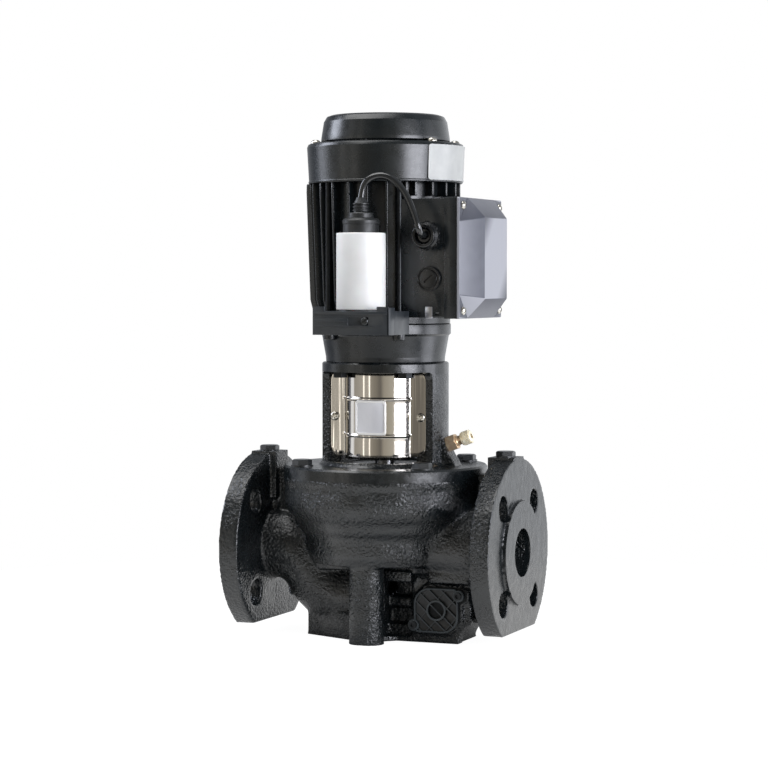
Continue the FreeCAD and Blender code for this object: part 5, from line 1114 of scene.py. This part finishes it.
# bare aluminium, milled after painting, is bright
bright_aluminium = surface("bare_machined_aluminium", "#c3c4c9", 0.3, 1.0, (0.5, 0.02))[0]
finish(tab, "earth_tab", "pump", bright_aluminium)


# Terminal box lid
# Pressed from sheet and sprayed silver grey: a flat rim with a screw in each corner, and a raised
# middle with eight slanted facets. Its sharp edges are painted light grey, as painted highlights.
lid_foot, lid_top, lid_sheet = box_front + 0.001, 0.0885, 0.002
lid_half_y, lid_half_z, lid_corner = box_half + 0.0008, (box_high - box_low) / 2, 0.0175
top_half_y, top_half_z = 0.0252, 0.0302
rim_outline = rounded(rectangle((0, box_middle), lid_half_y, lid_half_z), 0.0012)
rim_plate = prism(rim_outline, lid_foot, lid_foot + lid_sheet, "X")
ease(rim_plate, 0.0004)


def eight_sided(half_y, half_z, corner, x):
    """The points of a rectangle with its corners cut off, at a distance from the axis."""
    y, z = half_y - corner, half_z - corner
    outline = [(half_y, -z), (half_y, z), (y, half_z), (-y, half_z),
               (-half_y, z), (-half_y, -z), (-y, -half_z), (y, -half_z)]
    return [(x, y, box_middle + z) for y, z in outline]


def lid_form(foot, top, shrink, corner_top):
    """The raised middle: one eight-sided outline tapers to another."""
    points = eight_sided(lid_half_y - shrink, lid_half_z - shrink, lid_corner, foot)
    points += eight_sided(top_half_y - shrink / 2, top_half_z - shrink / 2, corner_top, top)
    faces = [tuple(range(8)), tuple(range(15, 7, -1))]
    faces += [(i, (i + 1) % 8, 8 + (i + 1) % 8, 8 + i) for i in range(8)]
    return clean(new_piece("lid", points, [], faces))


raised = lid_form(lid_foot + 0.0019, lid_top, 0.0, 0.0006)
ease(raised, 0.00055, 3, 15)
lid = combine(raised, rim_plate, "UNION")
lid = cut(lid, lid_form(lid_foot - 0.0005, lid_top - 0.0022, 0.0045, 0.0006))
lid_paint, tree, shader, place = surface("silver_grey_stove_enamel", "#4a4c54", 0.44, 0.2, grain=(0.8, 0.03))
# painted highlight: the sharp edges, found by their pointiness, are coloured a light grey
edge = add_node(tree, "NewGeometry").outputs["Pointiness"]
painted_edge_highlight_mask = add_node(tree, "MapRange", inputs={
    "Value": edge, "From Min": 0.52, "From Max": 0.56, "To Min": 0.0, "To Max": 1.0})
clouds = add_node(tree, "TexNoise", inputs={"Vector": place, "Scale": per_metre(12), "Detail": 2.0})
shade = add_node(tree, "ValToRGB", inputs={"Fac": clouds}, stops=[(0.3, "#484a52"), (0.7, "#50525a")])
lid_colour_with_painted_highlights = add_node(tree, "Mix", {"data_type": "RGBA"}, {
    "Factor": painted_edge_highlight_mask, 6: shade, 7: linear("#9c9da3")})
tree.links.new(lid_colour_with_painted_highlights.outputs[2], shader.inputs["Base Color"])
finish(lid, "terminal_lid", "pump", lid_paint, ["terminal_box_lid"])

lid_face, lid_screw_tip = lid_foot + lid_sheet, 0.0635
lid_screw_turn = Matrix.Rotation(math.pi / 2, 4, "Y") @ Matrix.Rotation(math.radians(35), 4, "Z")
screws = []
for y, z in lid_screw_places:
    screws.append(cross_head(0.0032, 0.0007, 0.0019, 0.0004, 0.0022, 0.0013,
                             Matrix.Translation((lid_face, y, z)) @ lid_screw_turn, 36))
    screws.append(ring((0, y, z), 0.0019, 0, lid_screw_tip, lid_face, "X", 20))
finish(join(screws), "lid_screw_set", "pump", zinc, ["lid_screws"])


# Cable gland and blanking plug
# Moulded black nylon. The gland's collar is a hexagon, its nut is scalloped, and a rubber ring in
# its mouth grips the lead; the plug has a grooved head with a coin slot.
gland_x, gland_z = 0.0534, 0.303
gland_centre = (gland_x, 0, gland_z)
grip, collar_corner, collar_face = 0.0026, 0.0104, front_y - 0.0056
hexagon = [(gland_x + collar_corner * math.cos(a), gland_z + collar_corner * math.sin(a))
           for a in (math.radians(60 * k + 30) for k in range(6))]
collar = prism(hexagon, front_y, collar_face, "Y")
ease(collar, 0.0005)
collar = join([cut(collar, ring(gland_centre, grip, 0, front_y + 0.001, front_y - 0.01)),
               ring(gland_centre, 0.0091, grip, -0.0382, front_y)])
# polyamide from a polished mould is glossy
gland_plastic = surface("glossy_black_polyamide", "#0d0f10", 0.24, grain=(0.8, 0.02),
                        tones=(5, "#0a0c0d", "#121416"))[0]
finish(collar, "gland_collar", "pump", gland_plastic, ["cable_gland"])
nut_hole = 0.0062
nut = toothed((gland_x, gland_z), 0.011, 0.0011, 14, collar_face, front_y - 0.0108, "Y")
ease(nut, 0.00035)
nut = cut(nut, ring(gland_centre, nut_hole, 0, front_y, front_y - 0.02))
mouth = turn(arc_profile([(nut_hole, 0.0056), (0.0099, 0.0056), (0.0099, 0.0112), (0.00875, 0.0128),
                          (0.00875, 0.0156), (0.0078, 0.016), (nut_hole, 0.0158)], 0.0005), steps=72)
seal = turn(arc_profile([(grip, 0.0058), (0.0064, 0.0058), (0.0064, 0.0118), (0.0048, 0.0132),
                         (grip, 0.0132)], 0.0005), steps=48)
for piece in (mouth, seal):
    piece.data.transform(facing_out(gland_x, front_y, gland_z))
    clean(piece)
finish(join([nut, mouth, seal]), "gland_cap_nut", "pump", gland_plastic, ["gland_nut"])

blank_x, blank_z, plug_rise, plug_radius = 0.0525, 0.2717, 0.0024, 0.00915
groove_outer, groove_inner = plug_radius - 0.0012, plug_radius - 0.0026
plug = turn(arc_profile([(0, 0), (plug_radius, 0), (plug_radius, plug_rise), (groove_outer, plug_rise),
                         (groove_outer, plug_rise / 2), (groove_inner, plug_rise / 2),
                         (groove_inner, plug_rise), (0, plug_rise)], 0.0003)[:-1], steps=72)
plug = cut(plug, block((-0.0042, -0.0007, plug_rise / 2), (0.0042, 0.0007, plug_rise + 0.001)))
plug.data.transform(facing_out(blank_x, front_y, blank_z, 40))
plug = clean(join([plug, ring((blank_x, 0, blank_z), 0.0091, 0, -0.0392, front_y)]))
finish(plug, "blanking_screw_plug", "pump", gland_plastic, ["blanking_plug"])


# Run capacitor
# A white plastic can, closed by a black rubber cap whose collar is notched on both sides and whose
# ribbed sleeve bends with the lead. It stands on the tray by its threaded stud.
can_x, can_y, can_radius, can_low, can_high = 0.0104, -0.0743, 0.018, 0.249, 0.305
collar_radius, collar_top, sleeve_top, lead_radius = 0.013, 0.3157, 0.3307, 0.0025
can_outline = [(0, can_low), (can_radius, can_low), (can_radius, can_high), (0, can_high)]
can_side = rounded(can_outline, 0.0009, 4)[5:-5]
can = turn([(0, can_low)] + can_side + [(0, can_high)], (can_x, can_y), 96)
stud = ring((can_x, can_y, 0), 0.004, 0, 0.2375, can_low + 0.001, "Z", 24)
# milky plastic lets a little light in
can_plastic, tree, shader, place = surface("white_moulded_polypropylene", "#e4e3df", 0.42, grain=(1.2, 0.02),
                                           tones=(16, "#e0dfdb", "#e8e7e3"))
shader.inputs["Subsurface Weight"].default_value = 0.05
shader.inputs["Subsurface Scale"].default_value = 0.002
finish(join([can, stud]), "capacitor_body", "pump", can_plastic, ["capacitor_can"])

# what follows is in mm: the collar's steps from its radius and its top, then three ridges
collar_steps = [(0, -4.1), (0.4, -3.9), (0.4, -1.8), (-0.4, -0.6), (-1.6, 0), (-3.8, 0.4), (-4.0, 3.4),
                (-4.6, 4.0), (-7.6, 4.2)]
for foot in (4.8, 7.2, 9.6):
    collar_steps += [(-7.8, foot), (-7.0, foot + 0.4), (-7.0, foot + 1.2), (-7.9, foot + 1.6)]
sleeve_hole = lead_radius + 0.0001
rubber_cap = turn([(0, can_high + 0.0001), (collar_radius, can_high + 0.0001)]
                  + [(collar_radius + out / 1000, collar_top + up / 1000) for out, up in collar_steps]
                  + [(lead_radius + 0.0012, sleeve_top - 0.0012), (lead_radius + 0.0008, sleeve_top),
                     (sleeve_hole, sleeve_top), (sleeve_hole, sleeve_top - 0.004), (0, sleeve_top - 0.004)],
                  (can_x, can_y), 96)
for x_side in (-1, 1):
    near, far = sorted((can_x + x_side * 0.0112, can_x + x_side * 0.0150))
    rubber_cap = cut(rubber_cap, block((near, can_y - 0.0035, can_high + 0.0060),
                                       (far, can_y + 0.0035, collar_top - 0.0042)))
# the cap's rubber is smoother than a seal's and has a slight shine
cap_rubber = surface("moulded_black_rubber_cap", "#1d1f20", 0.45, grain=(0.8, 0.03), gloss=(4, 0.36, 0.52))[0]
finish(rubber_cap, "capacitor_rubber_cap", "pump", cap_rubber, ["capacitor_cap"])


# Capacitor tray
# Black painted steel: a shallow tray with a raised lip at each front corner and a stiffening bar
# pressed along its front. A slotted screw in its long hole clamps it against the end shield.
tray_left, tray_right = can_x - 0.0295, can_x + 0.0295
tray_front, tray_low, tray_high = -0.095, 0.231, 0.248
tray = copy_of("capacitor_bracket", "tray")
edit(tray, bpy.ops.mesh.dissolve_limited, angle_limit=math.radians(0.5))
ease(tray, 0.0004, 2, 40)
pressed_bar = block((tray_left + 0.002, tray_front - 0.0006, 0.2405),
                    (can_x - 0.003, tray_front + 0.0008, 0.2432), 0.0003)
top_lip = block((tray_left + 0.0005, tray_front - 0.0007, tray_high - 0.0022),
                (tray_right - 0.001, tray_front + 0.0012, tray_high + 0.0002), 0.0004)
lower_line = block((tray_left + 0.0005, tray_front - 0.0005, 0.2372),
                   (tray_right - 0.006, tray_front + 0.0008, 0.2380), 0.0002)
corner_lip = block((tray_right - 0.0010, tray_front, tray_low),
                   (tray_right + 0.0006, tray_front + 0.012, tray_high + 0.0028), 0.0003)
tray_paint = satin_paint("satin_black_enamel_on_folded_steel", "#23272b", "#2b3034", 0.32)
finish(join([tray, pressed_bar, top_lip, lower_line, corner_lip]), "capacitor_tray", "pump", tray_paint,
       ["capacitor_bracket"])

clamp_x, clamp_z, clamp_seat = can_x + 0.011, tray_high - 0.007, tray_front + 0.00125
clamp_outline = arc_profile([(0, 0), (0.00295, 0), (0.00295, 0.0014), (0.0022, 0.002), (0, 0.002)], 0.0003)
clamp = turn(clamp_outline[:-1], steps=40)
clamp = cut(clamp, block((-0.0035, -0.0004, 0.0011), (0.0035, 0.0004, 0.003)))
clamp.data.transform(facing_out(clamp_x, clamp_seat, clamp_z, 30))
clamp = clean(join([clamp, ring((clamp_x, 0, clamp_z), 0.0024, 0, clamp_seat, tray_front + 0.0092)]))
# the screw's black has worn to grey steel
worn_oxide = surface("worn_black_oxide_screw", "#3a3c3d", 0.3, 0.8, grain=(0.6, 0.03))[0]
finish(clamp, "tray_clamp_screw", "pump", worn_oxide, ["bracket_screw"])


# Capacitor lead
# A round flexible lead in a black sheath, from the cap's sleeve over in one loop and down into the
# gland. It is 101 mm long; its route is the one that the solid follows.
lead_route_mm = [(10.4, -74.3, 324), (10.4, -74.3, 338), (18, -72.8, 346.5), (31, -70.3, 346.5),
                 (42.5, -68.4, 335), (49.6, -68.4, 318.5), (53.2, -69.5, 308.5), (53.4, -64.5, 303),
                 (53.4, -52, 303)]
curve = bpy.data.curves.new("lead", "CURVE")
curve.dimensions = "3D"
curve.bevel_depth = lead_radius
curve.bevel_resolution = 6
curve.resolution_u = 16
curve.use_fill_caps = True
spline = curve.splines.new("NURBS")
spline.points.add(len(lead_route_mm) - 1)
for point, place_mm in zip(spline.points, lead_route_mm):
    point.co = (*(c / 1000 for c in place_mm), 1)
spline.order_u = 3
spline.use_endpoint_u = True
lead = bpy.data.objects.new("capacitor_lead_cable", curve)
scene.collection.objects.link(lead)
# new vinyl has a wet gloss
sheath, tree, shader, place = surface("black_pvc_sheath", "#1b1d1e", 0.15, grain=(1.5, 0.03),
                                      gloss=(5, 0.1, 0.2))
shader.inputs["Specular IOR Level"].default_value = 0.7
curve.materials.append(sheath)
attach(lead, "pump")
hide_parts("capacitor_lead")
